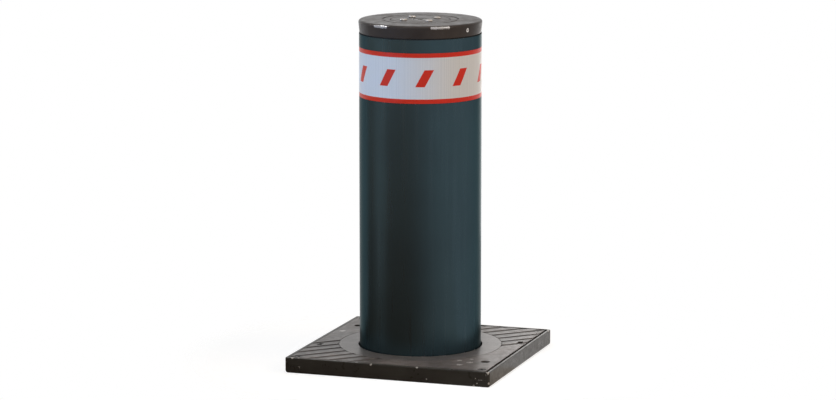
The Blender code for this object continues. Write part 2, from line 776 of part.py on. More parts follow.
# Guides and stops
def build_wiper():
    low = BUSH_FLANGE + FIT
    high = RING_FOOT - FIT
    bore = RING_R + RING_JOINT - RING_SEAT
    body = POST_R + WIPER_OPEN
    lip = POST_R + WIPER_LIP_CLEARANCE
    wiper = turned("wiper_seal", [
        (bore - WIPER_LAND, high),
        (bore - WIPER_LAND, low),
        (body, low),
        (lip, low),
        (lip, low + WIPER_LIP / 2),
        (body, low + WIPER_LIP),
        (body, high),
    ], LARGE_STEPS)
    add_part("wiper_seal", wiper, "rubber", HOUSING)


def build_guide_bush():
    bore = POST_R + RUN
    bush = turned("guide_bush", [
        (CASING_R, BUSH_FLANGE),
        (CASING_R, 0),
        (CASING_INNER_R - FIT, 0),
        (CASING_INNER_R - FIT, -BUSH_LENGTH),
        (bore, -BUSH_LENGTH),
        (bore, BUSH_FLANGE),
    ], LARGE_STEPS)
    add_part("guide_bush", bush, "guide_plastic", HOUSING)


def build_stop_ring():
    stop = ring("stop_ring", POST_R + STOP_CLEARANCE, CASING_INNER_R - FIT, STOP_FOOT, STOP_TOP)
    add_part("stop_ring", stop, "black_paint", HOUSING)


def build_stop_buffer():
    buffer_ring = ring("stop_buffer", POST_R + FIT, RAIL_INNER_X - RUN, BUFFER_FOOT, BUFFER_TOP)
    add_part("stop_buffer", buffer_ring, "rubber", POST)


def build_foot_guide():
    guide = ring("foot_guide", POST_R + FIT, CASING_INNER_R - RUN, POST_FOOT, FOOT_TOP)
    obj = add_part("foot_guide", guide, "guide_plastic", POST)
    half = RAIL_WIDTH / 2 + RUN
    notch_low = (RAIL_INNER_X - RUN, -half, POST_FOOT - FOOT_HEIGHT)
    notch_high = (CASING_R, half, FOOT_TOP + FOOT_HEIGHT)
    cut(obj, add_cutter("rail_notch", bars("rail_notch", [(notch_low, notch_high)])))


def build_guide_rail():
    half = RAIL_WIDTH / 2
    low = (RAIL_INNER_X, -half, FLOOR + FIT)
    high = (RAIL_OUTER_X, half, STOP_FOOT - FIT)
    add_part("guide_rail", bars("guide_rail", [(low, high)]), "zinc", HOUSING)


def build_bump_stops():
    radius = GUIDE_SPACE / 2 - BUMP_CLEARANCE
    stop = turned("bump_stop", [
        (0, BUMP_HEIGHT),
        (radius - BUMP_TAPER, BUMP_HEIGHT),
        (radius, BUMP_HEIGHT - BUMP_TAPER),
        (radius, 0),
        (0, 0),
    ], SMALL_STEPS, closed=False)
    places = on_circle((POST_R + CASING_INNER_R) / 2, BUMP_COUNT, BUMP_ANGLE, FLOOR + FIT)
    for index, place in enumerate(places):
        add_part(f"bump_stop_{index + 1}", stop.copy(), "rubber", HOUSING, place)


# Gas springs, one each side of the spindle
def build_gas_spring(side, word):
    x = side * SPRING_X
    bore = SPRING_R - SPRING_WALL
    pin_hole = rods(f"pin_hole_{word}", [(0, 0, PIN_LEVEL)], PIN_D / 2 + FIT, 4 * SPRING_OD, SMALL_STEPS, "X")
    pin_cutter = add_cutter(f"pin_hole_{word}", pin_hole, (x, 0, 0))

    barrel = turned("spring_barrel", [
        (SPRING_R, BARREL_TOP),
        (SPRING_R, BARREL_FOOT),
        (0, BARREL_FOOT),
        (0, BARREL_FOOT + SPRING_FLOOR),
        (bore, BARREL_FOOT + SPRING_FLOOR),
        (bore, BARREL_TOP),
    ], MEDIUM_STEPS)
    barrel_obj = add_part(f"spring_barrel_{word}", barrel, "black_paint", HOUSING, (x, 0, 0))
    lug_low = (-LUG_THICKNESS / 2, -LUG_RADIUS, PIN_LEVEL - LUG_RADIUS)
    lug_high = (LUG_THICKNESS / 2, LUG_RADIUS, BARREL_FOOT + SPRING_FLOOR / 2)
    lug = bars(f"spring_lug_{word}", [(lug_low, lug_high)])
    join(barrel_obj, add_cutter(f"spring_lug_{word}", lug, (x, 0, 0)))
    cut(barrel_obj, pin_cutter)

    gland = turned("spring_gland", [
        (SPRING_R, GLAND_TOP),
        (SPRING_R, GLAND_TOP - GLAND_FLANGE),
        (bore - FIT, GLAND_TOP - GLAND_FLANGE),
        (bore - FIT, GLAND_FOOT),
        (ROD_D / 2 + RUN, GLAND_FOOT),
        (ROD_D / 2 + RUN, GLAND_TOP),
    ], MEDIUM_STEPS)
    add_part(f"spring_gland_{word}", gland, "zinc", HOUSING, (x, 0, 0))

    ear_in = LUG_THICKNESS / 2 + FIT
    ear_out = ear_in + EAR_THICKNESS
    ear_top = PIN_LEVEL + EAR_WIDTH / 2
    clevis_floor = FLOOR + FIT + CLEVIS_FLOOR
    clevis = flat("spring_clevis", [
        (-ear_out, FLOOR + FIT),
        (ear_out, FLOOR + FIT),
        (ear_out, ear_top),
        (ear_in, ear_top),
        (ear_in, clevis_floor),
        (-ear_in, clevis_floor),
        (-ear_in, ear_top),
        (-ear_out, ear_top),
    ], EAR_WIDTH)
    clevis_obj = add_part(
        f"spring_clevis_{word}", clevis, "zinc", HOUSING, (x, 0, 0), (math.pi / 2, 0, 0),
    )
    cut(clevis_obj, pin_cutter)

    pin = turned("spring_pin", [
        (0, ear_out + FIT + PIN_HEAD),
        (PIN_HEAD_D / 2, ear_out + FIT + PIN_HEAD),
        (PIN_HEAD_D / 2, ear_out + FIT),
        (PIN_D / 2, ear_out + FIT),
        (PIN_D / 2, -ear_out - PIN_OVERRUN),
        (0, -ear_out - PIN_OVERRUN),
    ], SMALL_STEPS, closed=False)
    add_part(f"spring_pin_{word}", pin, "steel", HOUSING, (x, 0, PIN_LEVEL), (0, side * math.pi / 2, 0))

    piston_foot = PISTON_TOP - PISTON_LENGTH
    stud_top = HEAD_TOP + ROD_STUD_OVERRUN
    rod = turned("spring_rod", [
        (0, stud_top),
        (ROD_STUD_D / 2, stud_top),
        (ROD_STUD_D / 2, HEAD_FOOT - FIT),
        (ROD_COLLAR_D / 2, HEAD_FOOT - FIT),
        (ROD_COLLAR_D / 2, ROD_COLLAR_FOOT),
        (ROD_D / 2, ROD_COLLAR_FOOT),
        (ROD_D / 2, PISTON_TOP),
        (bore - RUN, PISTON_TOP),
        (bore - RUN, piston_foot),
        (0, piston_foot),
    ], MEDIUM_STEPS, closed=False)
    add_part(f"spring_rod_{word}", rod, "steel", POST, (x, 0, 0))

    nut = flat("rod_nut", hexagon(NUT_ACROSS), NUT_HEIGHT)
    nut_level = HEAD_TOP + FIT + NUT_HEIGHT / 2
    nut_obj = add_part(f"rod_nut_{word}", nut, "zinc", POST, (x, 0, nut_level))
    nut_bore = rods(
        f"nut_bore_{word}", [(x, 0, nut_level)], ROD_STUD_D / 2 + FIT, 2 * NUT_HEIGHT, SMALL_STEPS,
    )
    cut(nut_obj, add_cutter(f"nut_bore_{word}", nut_bore))


# Ground frame and cover plate
def cover_screw_places(level):
    place = PLATE_HALF - COVER_SCREW_INSET
    corners = [(-1, -1), (1, -1), (1, 1), (-1, 1)]
    return [Vector((x * place, y * place, level)) for x, y in corners]


def frame_bar(name, length):
    """An angle bar on the +X side, running along Y once it is stood up."""
    leg_in = FRAME_HALF - FRAME_LEG
    ledge_in = leg_in - LEDGE_WIDTH
    return flat(name, [
        (FRAME_HALF, FRAME_HEIGHT),
        (leg_in, FRAME_HEIGHT),
        (leg_in, LEDGE_HEIGHT),
        (ledge_in, LEDGE_HEIGHT),
        (ledge_in, 0),
        (FRAME_HALF, 0),
    ], length)


def build_side_bars():
    """Left and right bars run the full depth; their ledges carry the cover plate's screws."""
    hole_r = COVER_SCREW_D / 2 + FIT
    holes = rods("ledge_holes", cover_screw_places(LEDGE_HEIGHT / 2), hole_r, 2 * LEDGE_HEIGHT, SMALL_STEPS)
    cutter = add_cutter("ledge_holes", holes)
    for name, turn in (("frame_right", 0), ("frame_left", math.pi)):
        bar = frame_bar(name, 2 * FRAME_HALF)
        obj = add_part(name, bar, "frame_grey", HOUSING, rotation=(math.pi / 2, 0, turn))
        cut(obj, cutter)


def build_end_bars():
    """Front and back bars butt between the side bars, notched over the side ledges' ends."""
    long_half = FRAME_HALF - FRAME_LEG - FIT
    short_half = long_half - LEDGE_WIDTH
    notches = bars("end_notches", [
        ((-FRAME_HALF, -2 * FRAME_HALF, -FRAME_HEIGHT), (-short_half, 2 * FRAME_HALF, LEDGE_HEIGHT + FIT)),
        ((short_half, -2 * FRAME_HALF, -FRAME_HEIGHT), (FRAME_HALF, 2 * FRAME_HALF, LEDGE_HEIGHT + FIT)),
    ])
    cutter = add_cutter("end_notches", notches)
    for name, turn in (("frame_front", -math.pi / 2), ("frame_back", math.pi / 2)):
        bar = frame_bar(name, 2 * long_half)
        obj = add_part(name, bar, "frame_grey", HOUSING, rotation=(math.pi / 2, 0, turn))
        cut(obj, cutter)


def groove_boxes():
    """Grooves along the diagonal, from the ring's seat out past both corners."""
    seat = RING_R + RING_JOINT
    far = 2 * PLATE_HALF
    low = PLATE_TOP - GROOVE_DEPTH
    high = PLATE_TOP + FRAME_HEIGHT
    boxes = []
    for index in range(GROOVE_COUNT):
        offset = (index - (GROOVE_COUNT - 1) / 2) * GROOVE_PITCH
        near = math.sqrt(max(seat ** 2 - offset ** 2, 0)) - GROOVE_WIDTH
        left = offset - GROOVE_WIDTH / 2
        right = offset + GROOVE_WIDTH / 2
        boxes.append(((near, left, low), (far, right, high)))
        boxes.append(((-far, left, low), (-near, right, high)))
    return boxes


def lift_slot_boxes():
    """Pry slots where the outermost grooves end, one on each side."""
    outermost = (GROOVE_COUNT - 1) / 2 * GROOVE_PITCH
    x = PLATE_HALF - LIFT_SLOT_INSET
    y = PLATE_HALF - outermost * math.sqrt(2)
    low = PLATE_TOP - LIFT_SLOT_DEPTH
    half_w = LIFT_SLOT_WIDTH / 2
    half_l = LIFT_SLOT_LENGTH / 2
    right = ((x - half_w, y - half_l, low), (x + half_w, y + half_l, PLATE_TOP + FRAME_HEIGHT))
    left = ((-x - half_w, -y - half_l, low), (-x + half_w, -y + half_l, PLATE_TOP + FRAME_HEIGHT))
    return [right, left]


def lift_hole_cutter():
    """Blind holes for lifting eyes, in the two corners without grooves."""
    x = PLATE_HALF - LIFT_HOLE_INSET
    y = PLATE_HALF - LIFT_HOLE_SETBACK
    places = [(x, -y, PLATE_TOP), (-x, y, PLATE_TOP)]
    holes = rods("lift_holes", places, LIFT_HOLE_D / 2, 2 * LIFT_HOLE_DEPTH, SMALL_STEPS)
    return add_cutter("lift_holes", holes)


def build_cover_plate():
    low = (-PLATE_HALF, -PLATE_HALF, PLATE_FOOT)
    high = (PLATE_HALF, PLATE_HALF, PLATE_TOP)
    obj = add_part("cover_plate", bars("cover_plate", [(low, high)]), "plate_grey", HOUSING)
    seat = RING_R + RING_JOINT
    shelf = RING_FOOT - FIT
    bore = turned("ring_bore", [
        (0, PLATE_TOP + FRAME_HEIGHT),
        (seat, PLATE_TOP + FRAME_HEIGHT),
        (seat, shelf),
        (seat - RING_SEAT, shelf),
        (seat - RING_SEAT, 0),
        (0, 0),
    ], LARGE_STEPS, closed=False)
    cut(obj, add_cutter("ring_bore", bore))
    cut(obj, add_cutter("plate_grooves", bars("plate_grooves", groove_boxes(), GROOVE_TURN)))
    cut(obj, add_cutter("lift_slots", bars("lift_slots", lift_slot_boxes())))
    cut(obj, lift_hole_cutter())
    head_r = COVER_SCREW_HEAD_D / 2 + FIT
    shank_r = COVER_SCREW_D / 2 + FIT
    cone = head_r - shank_r
    hole = turned("cover_screw_hole", [
        (0, FRAME_HEIGHT),
        (head_r, FRAME_HEIGHT),
        (head_r, -COVER_SCREW_SUNK),
        (shank_r, -COVER_SCREW_SUNK - cone),
        (shank_r, -FRAME_HEIGHT),
        (0, -FRAME_HEIGHT),
    ], SMALL_STEPS, closed=False)
    for index, place in enumerate(cover_screw_places(PLATE_TOP)):
        cut(obj, add_cutter(f"cover_screw_hole_{index + 1}", hole, place))


def build_cover_screws():
    """Countersunk screws through the plate into the side ledges."""
    head_r = COVER_SCREW_HEAD_D / 2
    shank_r = COVER_SCREW_D / 2
    top = -COVER_SCREW_SUNK
    foot = COVER_SCREW_CLEAR - PLATE_TOP
    screw = turned("cover_screw", [
        (0, top),
        (head_r, top),
        (shank_r, top - (head_r - shank_r)),
        (shank_r, foot),
        (0, foot),
    ], SMALL_STEPS, closed=False)
    for index, place in enumerate(cover_screw_places(PLATE_TOP)):
        add_part(f"cover_screw_{index + 1}", screw.copy(), "steel", HOUSING, place)


def build_collar_ring():
    collar = turned("collar_ring", [
        (RING_R - RING_BEVEL, PLATE_TOP),
        (RING_R, PLATE_TOP - RING_BEVEL),
        (RING_R, RING_FOOT),
        (RING_INNER_R, RING_FOOT),
        (RING_INNER_R, PLATE_TOP - RING_BEVEL),
        (RING_INNER_R + RING_BEVEL, PLATE_TOP),
    ], LARGE_STEPS)
    add_part("collar_ring", collar, "ring_steel", HOUSING)


# Buried casing
def build_casing():
    tube = ring("casing_tube", CASING_INNER_R, CASING_R, FLOOR + FIT, -FIT)
    tube_obj = add_part("casing_tube", tube, "zinc", HOUSING)
    drain_level = FLOOR + DRAIN_RISE
    hole = rods(
        "drain_hole", [(-CASING_R, 0, drain_level)], DRAIN_OD / 2 + FIT, DRAIN_OD, MEDIUM_STEPS, "X",
    )
    cut(tube_obj, add_cutter("drain_hole", hole))

    drain_r = DRAIN_OD / 2
    stub_end = CASING_R + DRAIN_REACH
    stub = ring("drain_stub", drain_r - DRAIN_WALL, drain_r, CASING_INNER_R, stub_end, MEDIUM_STEPS)
    add_part("drain_stub", stub, "zinc", HOUSING, (0, 0, drain_level), (0, -math.pi / 2, 0))

    flange_half = FRAME_HALF - FLANGE_INSET
    flange_low = (-flange_half, -flange_half, -FIT - FLANGE_THICKNESS)
    flange = bars("casing_flange", [(flange_low, (flange_half, flange_half, -FIT))])
    flange_obj = add_part("casing_flange", flange, "zinc", HOUSING)
    opening = rods("flange_bore", [(0, 0, 0)], CASING_R + FIT, 4 * FLANGE_THICKNESS, LARGE_STEPS)
    cut(flange_obj, add_cutter("flange_bore", opening))

    base_half = CASING_R + BASE_MARGIN
    base = bars("casing_base", [((-base_half, -base_half, BASE_FOOT), (base_half, base_half, FLOOR))])
    add_part("casing_base", base, "zinc", HOUSING)


def arc(centre, start, end):
    """Points of a bend in the plane of radius and height."""
    steps = ANCHOR_BEND_POINTS - 1
    angles = [start + (end - start) * index / steps for index in range(ANCHOR_BEND_POINTS)]
    across, up = centre
    return [(across + ANCHOR_BEND * math.cos(angle), up + ANCHOR_BEND * math.sin(angle)) for angle in angles]


def anchor_path():
    """Down the casing's wall, out into the concrete and up in a hook."""
    wall = CASING_R + FIT + ANCHOR_D / 2
    foot = -ANCHOR_TOP - ANCHOR_LEG
    turn_out = arc((wall + ANCHOR_BEND, foot), math.pi, 1.5 * math.pi)
    hook_r = wall + 2 * ANCHOR_BEND + ANCHOR_REACH
    turn_up = arc((hook_r - ANCHOR_BEND, foot), -0.5 * math.pi, 0)
    return [(wall, -ANCHOR_TOP)] + turn_out + turn_up + [(hook_r, foot + ANCHOR_HOOK)]


def build_anchors():
    path = anchor_path()
    for index in range(ANCHOR_COUNT):
        name = f"anchor_bar_{index + 1}"
        curve = bpy.data.curves.new(name, "CURVE")
        curve.dimensions = "3D"
        curve.bevel_depth = ANCHOR_D / 2
        curve.bevel_resolution = 2
        curve.use_fill_caps = True
        spline = curve.splines.new("POLY")
        spline.points.add(len(path) - 1)
        for point, (radius, height) in zip(spline.points, path):
            point.co = (radius, 0, height, 1)
        turn = ANCHOR_ANGLE + math.tau * index / ANCHOR_COUNT
        mesh = smooth(welded(evaluated_mesh(bpy.data.objects.new(name, curve))))
        add_part(name, mesh, "zinc", HOUSING, rotation=(0, 0, turn))


build_post_tube()
build_band()
build_cap()
build_gasket()
build_cap_screws()
build_head_plate()
build_lock_cover()
build_lock_screws()
build_key_rotor()
build_lock_spindle()
build_lock_bolts()
build_bolt_guides()
build_lock_carrier()
build_wiper()
build_guide_bush()
build_stop_ring()
build_stop_buffer()
build_foot_guide()
build_guide_rail()
build_bump_stops()
for spring_side, spring_word in ((-1, "left"), (1, "right")):
    build_gas_spring(spring_side, spring_word)
build_side_bars()
build_end_bars()
build_cover_plate()
build_cover_screws()
build_collar_ring()
build_casing()
build_anchors()
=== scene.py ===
"""Looks of the retractable bollard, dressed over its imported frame.

Metres, +Z up. Each piece is built where the frame's node lies and rides on that node's body.
"""

import json
import math

import bmesh
import bpy
from mathutils import Matrix, Vector

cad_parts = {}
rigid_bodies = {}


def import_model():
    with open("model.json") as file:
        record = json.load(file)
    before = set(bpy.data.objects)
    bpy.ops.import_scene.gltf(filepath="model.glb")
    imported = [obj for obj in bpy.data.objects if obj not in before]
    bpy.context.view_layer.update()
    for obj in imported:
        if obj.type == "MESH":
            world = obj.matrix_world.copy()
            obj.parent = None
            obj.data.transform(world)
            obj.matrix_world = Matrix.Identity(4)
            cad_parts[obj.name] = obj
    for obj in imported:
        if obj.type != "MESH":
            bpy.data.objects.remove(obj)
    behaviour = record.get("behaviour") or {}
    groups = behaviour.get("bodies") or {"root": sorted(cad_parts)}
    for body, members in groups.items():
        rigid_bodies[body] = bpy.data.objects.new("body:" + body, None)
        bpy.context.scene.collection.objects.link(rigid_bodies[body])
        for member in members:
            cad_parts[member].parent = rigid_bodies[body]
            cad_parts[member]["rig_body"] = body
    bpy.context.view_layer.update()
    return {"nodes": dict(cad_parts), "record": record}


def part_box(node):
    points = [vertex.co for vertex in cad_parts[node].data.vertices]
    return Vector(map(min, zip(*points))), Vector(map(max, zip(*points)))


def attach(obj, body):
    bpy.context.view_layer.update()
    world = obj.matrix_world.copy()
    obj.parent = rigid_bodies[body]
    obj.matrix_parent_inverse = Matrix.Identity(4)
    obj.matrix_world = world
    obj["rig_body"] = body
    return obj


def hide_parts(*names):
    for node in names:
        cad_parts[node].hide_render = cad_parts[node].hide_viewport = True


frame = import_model()
NODES = frame["nodes"]
SLOT_OF = {row["node"]: row["material_slot"] for row in frame["record"]["subparts"]}


def half_width(node):
    low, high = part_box(node)
    return (high.x - low.x) / 2


def levels(node):
    low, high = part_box(node)
    return low.z, high.z


def middle(node):
    low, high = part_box(node)
    return (low + high) / 2


def middles(name, count):
    """Index and middle of each node in a numbered row."""
    return [(index, middle(f"{name}_{index}")) for index in range(1, count + 1)]


# Facets
LARGE_STEPS = 192
MIDDLE_STEPS = 96
SMALL_STEPS = 48
ARC_STEPS = 5
SHARP_ANGLE = math.radians(35)
WELD = 0.00001

# Clearances between fixed pieces and between moving ones
FIT = 0.0003
RUN = 0.0006

# Sizes read from the frame
POST_R = half_width("post_tube")
POST_INNER_R = half_width("lock_carrier") + FIT
POST_FOOT, POST_TOP = levels("post_tube")
BAND_R = half_width("reflective_band")
BAND_FOOT, BAND_TOP = levels("reflective_band")
CAP_R = half_width("cap")
CAP_FOOT = levels("cap_gasket")[1] + FIT
CAP_TOP = levels("cap")[1]
COVER_R = half_width("lock_cover")
COVER_FOOT = levels("lock_cover")[0]
KEY_FLANGE_R = half_width("key_rotor")
KEY_FOOT, KEY_TOP = levels("key_rotor")
RING_R = half_width("collar_ring")
RING_FOOT, PLATE_TOP = levels("collar_ring")
PLATE_HALF = half_width("cover_plate")
PLATE_FOOT = levels("cover_plate")[0]
FRAME_HALF = (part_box("frame_right")[1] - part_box("frame_right")[0]).y / 2
FRAME_HEIGHT = levels("frame_right")[1]
CASING_R = half_width("casing_tube")
CASING_FOOT, CASING_TOP = levels("casing_tube")
FLANGE_HALF = half_width("casing_flange")
FLANGE_FOOT, FLANGE_TOP = levels("casing_flange")
BASE_HALF = half_width("casing_base")
BASE_FOOT, BASE_TOP = levels("casing_base")

# Sizes inside the pieces
BAND_THICKNESS = 0.0009
BAND_BORDER = 0.0078
BAR_LEAN = 0.55
BAR_COUNT = 10
BAR_WIDTH = 0.017
BAR_HEIGHT = 0.030
CAP_TAPER = 0.0025
CAP_SKIRT = 0.0082
CAP_WALL = 0.005
CAP_RIM_ROUND = 0.0042
CAP_GROOVE_R = 0.0676
CAP_GROOVE_WIDTH = 0.003
CAP_GROOVE_DEPTH = 0.0012
COVER_GAP = 0.0010
JOURNAL_R = 0.009
KEY_R = 0.012
KEY_LIP = 0.004
KEY_SOCKET = 0.010
KEY_SOCKET_DEPTH = 0.009
LOCK_SCREW_R = 0.004
LOCK_HEAD_R = 0.0065
LOCK_HEAD_HEIGHT = 0.0020
LOCK_SOCKET = 0.004
GRUB_R = 0.004
GRUB_LENGTH = 0.014
GRUB_SOCKET = 0.003
RING_WIDTH = 0.0352
RING_BORE_CHAMFER = 0.0006
RING_SEAT = 0.008
RING_JOINT = 0.0009
SHELF = 0.0044
PLATE_DRIFT = 0.0014
PLATE_EDGE = 0.0010
GROOVE_COUNT = 7
GROOVE_PITCH = 0.028
GROOVE_WIDTH = 0.011
GROOVE_DEPTH = 0.0011
GROOVE_CHAMFER = 0.0005
SLOT_LENGTH = 0.016
SLOT_WIDTH = 0.009
SLOT_DEPTH = 0.0036
SLOT_INSET = 0.013
SLOT_EDGE = 0.0012
LIFT_HOLE_R = 0.008
LIFT_HOLE_DEPTH = 0.006
LIFT_HOLE_INSET = 0.0245
LIFT_HOLE_SETBACK = 0.0725
LIFT_HOLE_CHAMFER = 0.0008
COVER_SCREW_R = 0.0075
COVER_SHANK_R = 0.004
COVER_SCREW_SUNK = 0.0008
COVER_SCREW_CHAMFER = 0.0006
COVER_SOCKET = 0.005
FRAME_LEG = 0.006
LEDGE_WIDTH = 0.022
LEDGE_HEIGHT = 0.013
FRAME_CORNER = 0.0050
FRAME_TOP_EDGE = 0.0016
FRAME_FOOT_EDGE = 0.0045
FRAME_INNER_EDGE = 0.0024
CASING_WALL = 0.005
DRAIN_WALL = 0.003
FLANGE_CORNER = 0.012
BASE_CORNER = 0.010
ANCHOR_D = 0.012
ANCHOR_BEND = 0.022
ANCHOR_HOOK = 0.050
WELD_BEAD = 0.004
WELD_RIPPLE = 0.0028
WELD_SIDES = 10
REBAR_RIB = 0.0005
REBAR_PITCH = 0.008
REBAR_SIDES = 16

# Wear, and on the cap's rim painted highlights: middle and reach of each knock, scuff or spot, seen in the
# photograph or, on the far side, guessed
FRAME_KNOCKS = (
    ((-0.028, -0.1900, 0.0268), 0.0040),
    ((0.057, -0.1895, 0.0276), 0.0045),
    ((0.075, -0.1905, 0.0080), 0.0020),
    ((0.165, -0.1905, 0.0155), 0.0026),
    ((0.168, -0.1905, 0.0070), 0.0022),
    ((0.162, -0.1900, 0.0020), 0.0034),
    ((0.1890, -0.1890, 0.0078), 0.0034),
    ((0.1880, -0.1885, 0.0265), 0.0046),
    ((-0.176, -0.1880, 0.0278), 0.0050),
    ((-0.165, -0.1870, 0.0280), 0.0040),
    ((0.1890, 0.1760, 0.0275), 0.0046),
)
PLATE_SCUFFS = (
    ((-0.056, -0.1790, 0.0280), 0.0070),
    ((-0.046, -0.1720, 0.0280), 0.0060),
    ((-0.170, 0.0550, 0.0280), 0.0100),
    ((0.122, -0.1470, 0.0280), 0.0090),
    ((0.134, -0.1240, 0.0280), 0.0095),
    ((0.112, -0.1150, 0.0280), 0.0085),
    ((0.129, -0.0990, 0.0280), 0.0060),
    ((0.172, 0.1650, 0.0280), 0.0090),
)
RIM_MARK_INSET = 0.08
RIM_MARK_DROP = 0.80
RIM_MARK_REACH = 0.0026
RIM_MARK_STEP = 0.0003


def rim_highlights_and_knocks(first, last, count):
    """Bright bare spots on the cap's rounded rim, between two angles in degrees, used as painted highlights
    and as knocked paint.
    """
    radius = CAP_R - CAP_RIM_ROUND * RIM_MARK_INSET
    level = CAP_TOP - CAP_RIM_ROUND * RIM_MARK_DROP
    spots = []
    for index in range(count):
        angle = math.radians(first + (last - first) * index / (count - 1))
        point = (radius * math.cos(angle), radius * math.sin(angle), level)
        spots.append((point, RIM_MARK_REACH + RIM_MARK_STEP * (index % 3)))
    return spots


# Near left and right of the rim: painted highlights where lamps would glint; far side: knocked paint,
# guessed.
CAP_HIGHLIGHTS_AND_KNOCKS = rim_highlights_and_knocks(-118, -105, 8) + rim_highlights_and_knocks(-61, -45, 9) + rim_highlights_and_knocks(62, 72, 5)
KNOCK_RAGGEDNESS = 1.3
RIM_RAGGEDNESS = 0.5

# Lines in the finishes, per metre
RING_TOOL_MARKS = 900.0
BAND_LINES = 260.0

# Camera, fitted to the photograph
CAMERA_AT = (1.8879, -5.6216, 1.3169)
CAMERA_TURN = math.radians(18.605)
CAMERA_PITCH = math.radians(9.815)
CAMERA_LENS = 144.16
SENSOR = 36.0

# Studio
FLOOR_R = 0.45
FLOOR_SOLID_R = 0.37
FLOOR_GLOW = 0.74
AMBIENT = 0.47
WHITE = (1.0, 1.0, 1.0)
SPARK_SPREAD = 14
AIM = Vector((0, 0, 0.3))
FLAG_R = 2.2
FLAG_FOOT = -3.0
FLAG_TOP = 1.2
FLAG_RIGHT = 64
FLAG_LEFT = -116
FLAG_LIFT = 0.001
FLAG_DARK_LEVEL = -0.36
FLAG_LEAN = 42
FLAG_STEP = 2


def srgb(red, green, blue):
    """Linear colour of an sRGB one given from 0 to 255."""
    def linear(value):
        share = value / 255
        return share / 12.92 if share <= 0.04045 else ((share + 0.055) / 1.055) ** 2.4

    return (linear(red), linear(green), linear(blue), 1.0)


# Meshes
def finished(name, work):
    bmesh.ops.recalc_face_normals(work, faces=work.faces)
    mesh = bpy.data.meshes.new(name)
    work.to_mesh(mesh)
    work.free()
    mesh.shade_smooth()
    mesh.set_sharp_from_angle(angle=SHARP_ANGLE)
    return mesh


def rounded(corners):
    """Outline through (across, up, radius) corners, each turned into an arc."""
    points = []
    for index, (across, up, radius) in enumerate(corners):
        here = Vector((across, up))
        if radius == 0:
            points.append(here)
            continue
        before = (Vector(corners[index - 1][:2]) - here).normalized()
        after = (Vector(corners[(index + 1) % len(corners)][:2]) - here).normalized()
        half = before.angle(after) / 2
        centre = here + (before + after).normalized() * radius / math.sin(half)
        first = here + before * radius / math.tan(half) - centre
        last = here + after * radius / math.tan(half) - centre
        start = math.atan2(first.y, first.x)
        sweep = (math.atan2(last.y, last.x) - start + math.pi) % math.tau - math.pi
        for step in range(ARC_STEPS + 1):
            angle = start + sweep * step / ARC_STEPS
            points.append(centre + radius * Vector((math.cos(angle), math.sin(angle))))
    return points


def turned(name, corners, steps=LARGE_STEPS):
    """Closed profile of (radius, height, corner radius) turned round Z."""
    work = bmesh.new()
    verts = [work.verts.new((point.x, 0, point.y)) for point in rounded(corners)]
    edges = [work.edges.new((verts[index - 1], vert)) for index, vert in enumerate(verts)]
    bmesh.ops.spin(
        work, geom=verts + edges, cent=(0, 0, 0), axis=(0, 0, 1), angle=math.tau, steps=steps, use_merge=True,
    )
    bmesh.ops.remove_doubles(work, verts=work.verts, dist=WELD)
    bmesh.ops.dissolve_degenerate(work, edges=work.edges, dist=WELD)
    return finished(name, work)


def plain_hole(name, radius, low, high, steps=SMALL_STEPS):
    """Cutter for a straight round hole between two heights."""
    return turned(name, [(0, high, 0), (radius, high, 0), (radius, low, 0), (0, low, 0)], steps)


def extruded(name, corners, length, matrix=Matrix()):
    """Closed outline of (x, y, corner radius) drawn out along Z, centred on its own plane."""
    work = bmesh.new()
    low = Vector((0, 0, -length / 2))
    face = work.faces.new([work.verts.new(point.to_3d() + low) for point in rounded(corners)])
    drawn = bmesh.ops.extrude_face_region(work, geom=[face])["geom"]
    top = [item for item in drawn if isinstance(item, bmesh.types.BMVert)]
    bmesh.ops.translate(work, vec=(0, 0, length), verts=top)
    bmesh.ops.transform(work, matrix=matrix, verts=work.verts)
    return finished(name, work)


def block(name, low, high, chamfer=0.0, segments=2):
    """Box between two corners with every edge softened."""
    work = bmesh.new()
    low, high = Vector(low), Vector(high)
    place = Matrix.Translation((low + high) / 2) @ Matrix.Diagonal((*(high - low), 1))
    bmesh.ops.create_cube(work, size=1, matrix=place)
    if chamfer:
        bmesh.ops.bevel(
            work, geom=work.edges[:], offset=chamfer, segments=segments, profile=0.5, affect="EDGES",
        )
    return finished(name, work)


def hexagon(across):
    """Corners of a hexagon, ready for extruding."""
    corner = across / math.sqrt(3)
    angles = [math.tau * index / 6 for index in range(6)]
    return [(corner * math.cos(angle), corner * math.sin(angle), 0) for angle in angles]


def swept(name, path, radius_at, sides, closed=False):
    """Tube along a path of points; radius_at gives the radius at a distance along it."""
    count = len(path)
    work = bmesh.new()
    rings = []
    travelled = 0.0
    for index, point in enumerate(path):
        ahead = path[(index + 1) % count] if closed else path[min(index + 1, count - 1)]
        behind = path[index - 1] if closed else path[max(index - 1, 0)]
        along = (ahead - behind).normalized()
        if index == 0:
            side = along.orthogonal().normalized()
        else:
            travelled += (point - path[index - 1]).length
            side = (side - along * side.dot(along)).normalized()
        up = along.cross(side)
        radius = radius_at(travelled)
        angles = [math.tau * step / sides for step in range(sides)]
        spokes = [math.cos(angle) * side + math.sin(angle) * up for angle in angles]
        rings.append([work.verts.new(point + radius * spoke) for spoke in spokes])
    spans = list(zip(rings, rings[1:] + rings[:1] if closed else rings[1:]))
    for first, second in spans:
        for step in range(sides):
            work.faces.new((first[step - 1], first[step], second[step], second[step - 1]))
    if not closed:
        work.faces.new(rings[0])
        work.faces.new(rings[-1])
    return finished(name, work)


def joined(name, meshes):
    """Several meshes as one."""
    work = bmesh.new()
    for mesh in meshes:
        work.from_mesh(mesh)
    return finished(name, work)


def moved(mesh, matrix):
    copy = mesh.copy()
    copy.transform(matrix)
    return copy


def placed(name, data):
    """A new object in the scene."""
    obj = bpy.data.objects.new(name, data)
    bpy.context.scene.collection.objects.link(obj)
    return obj


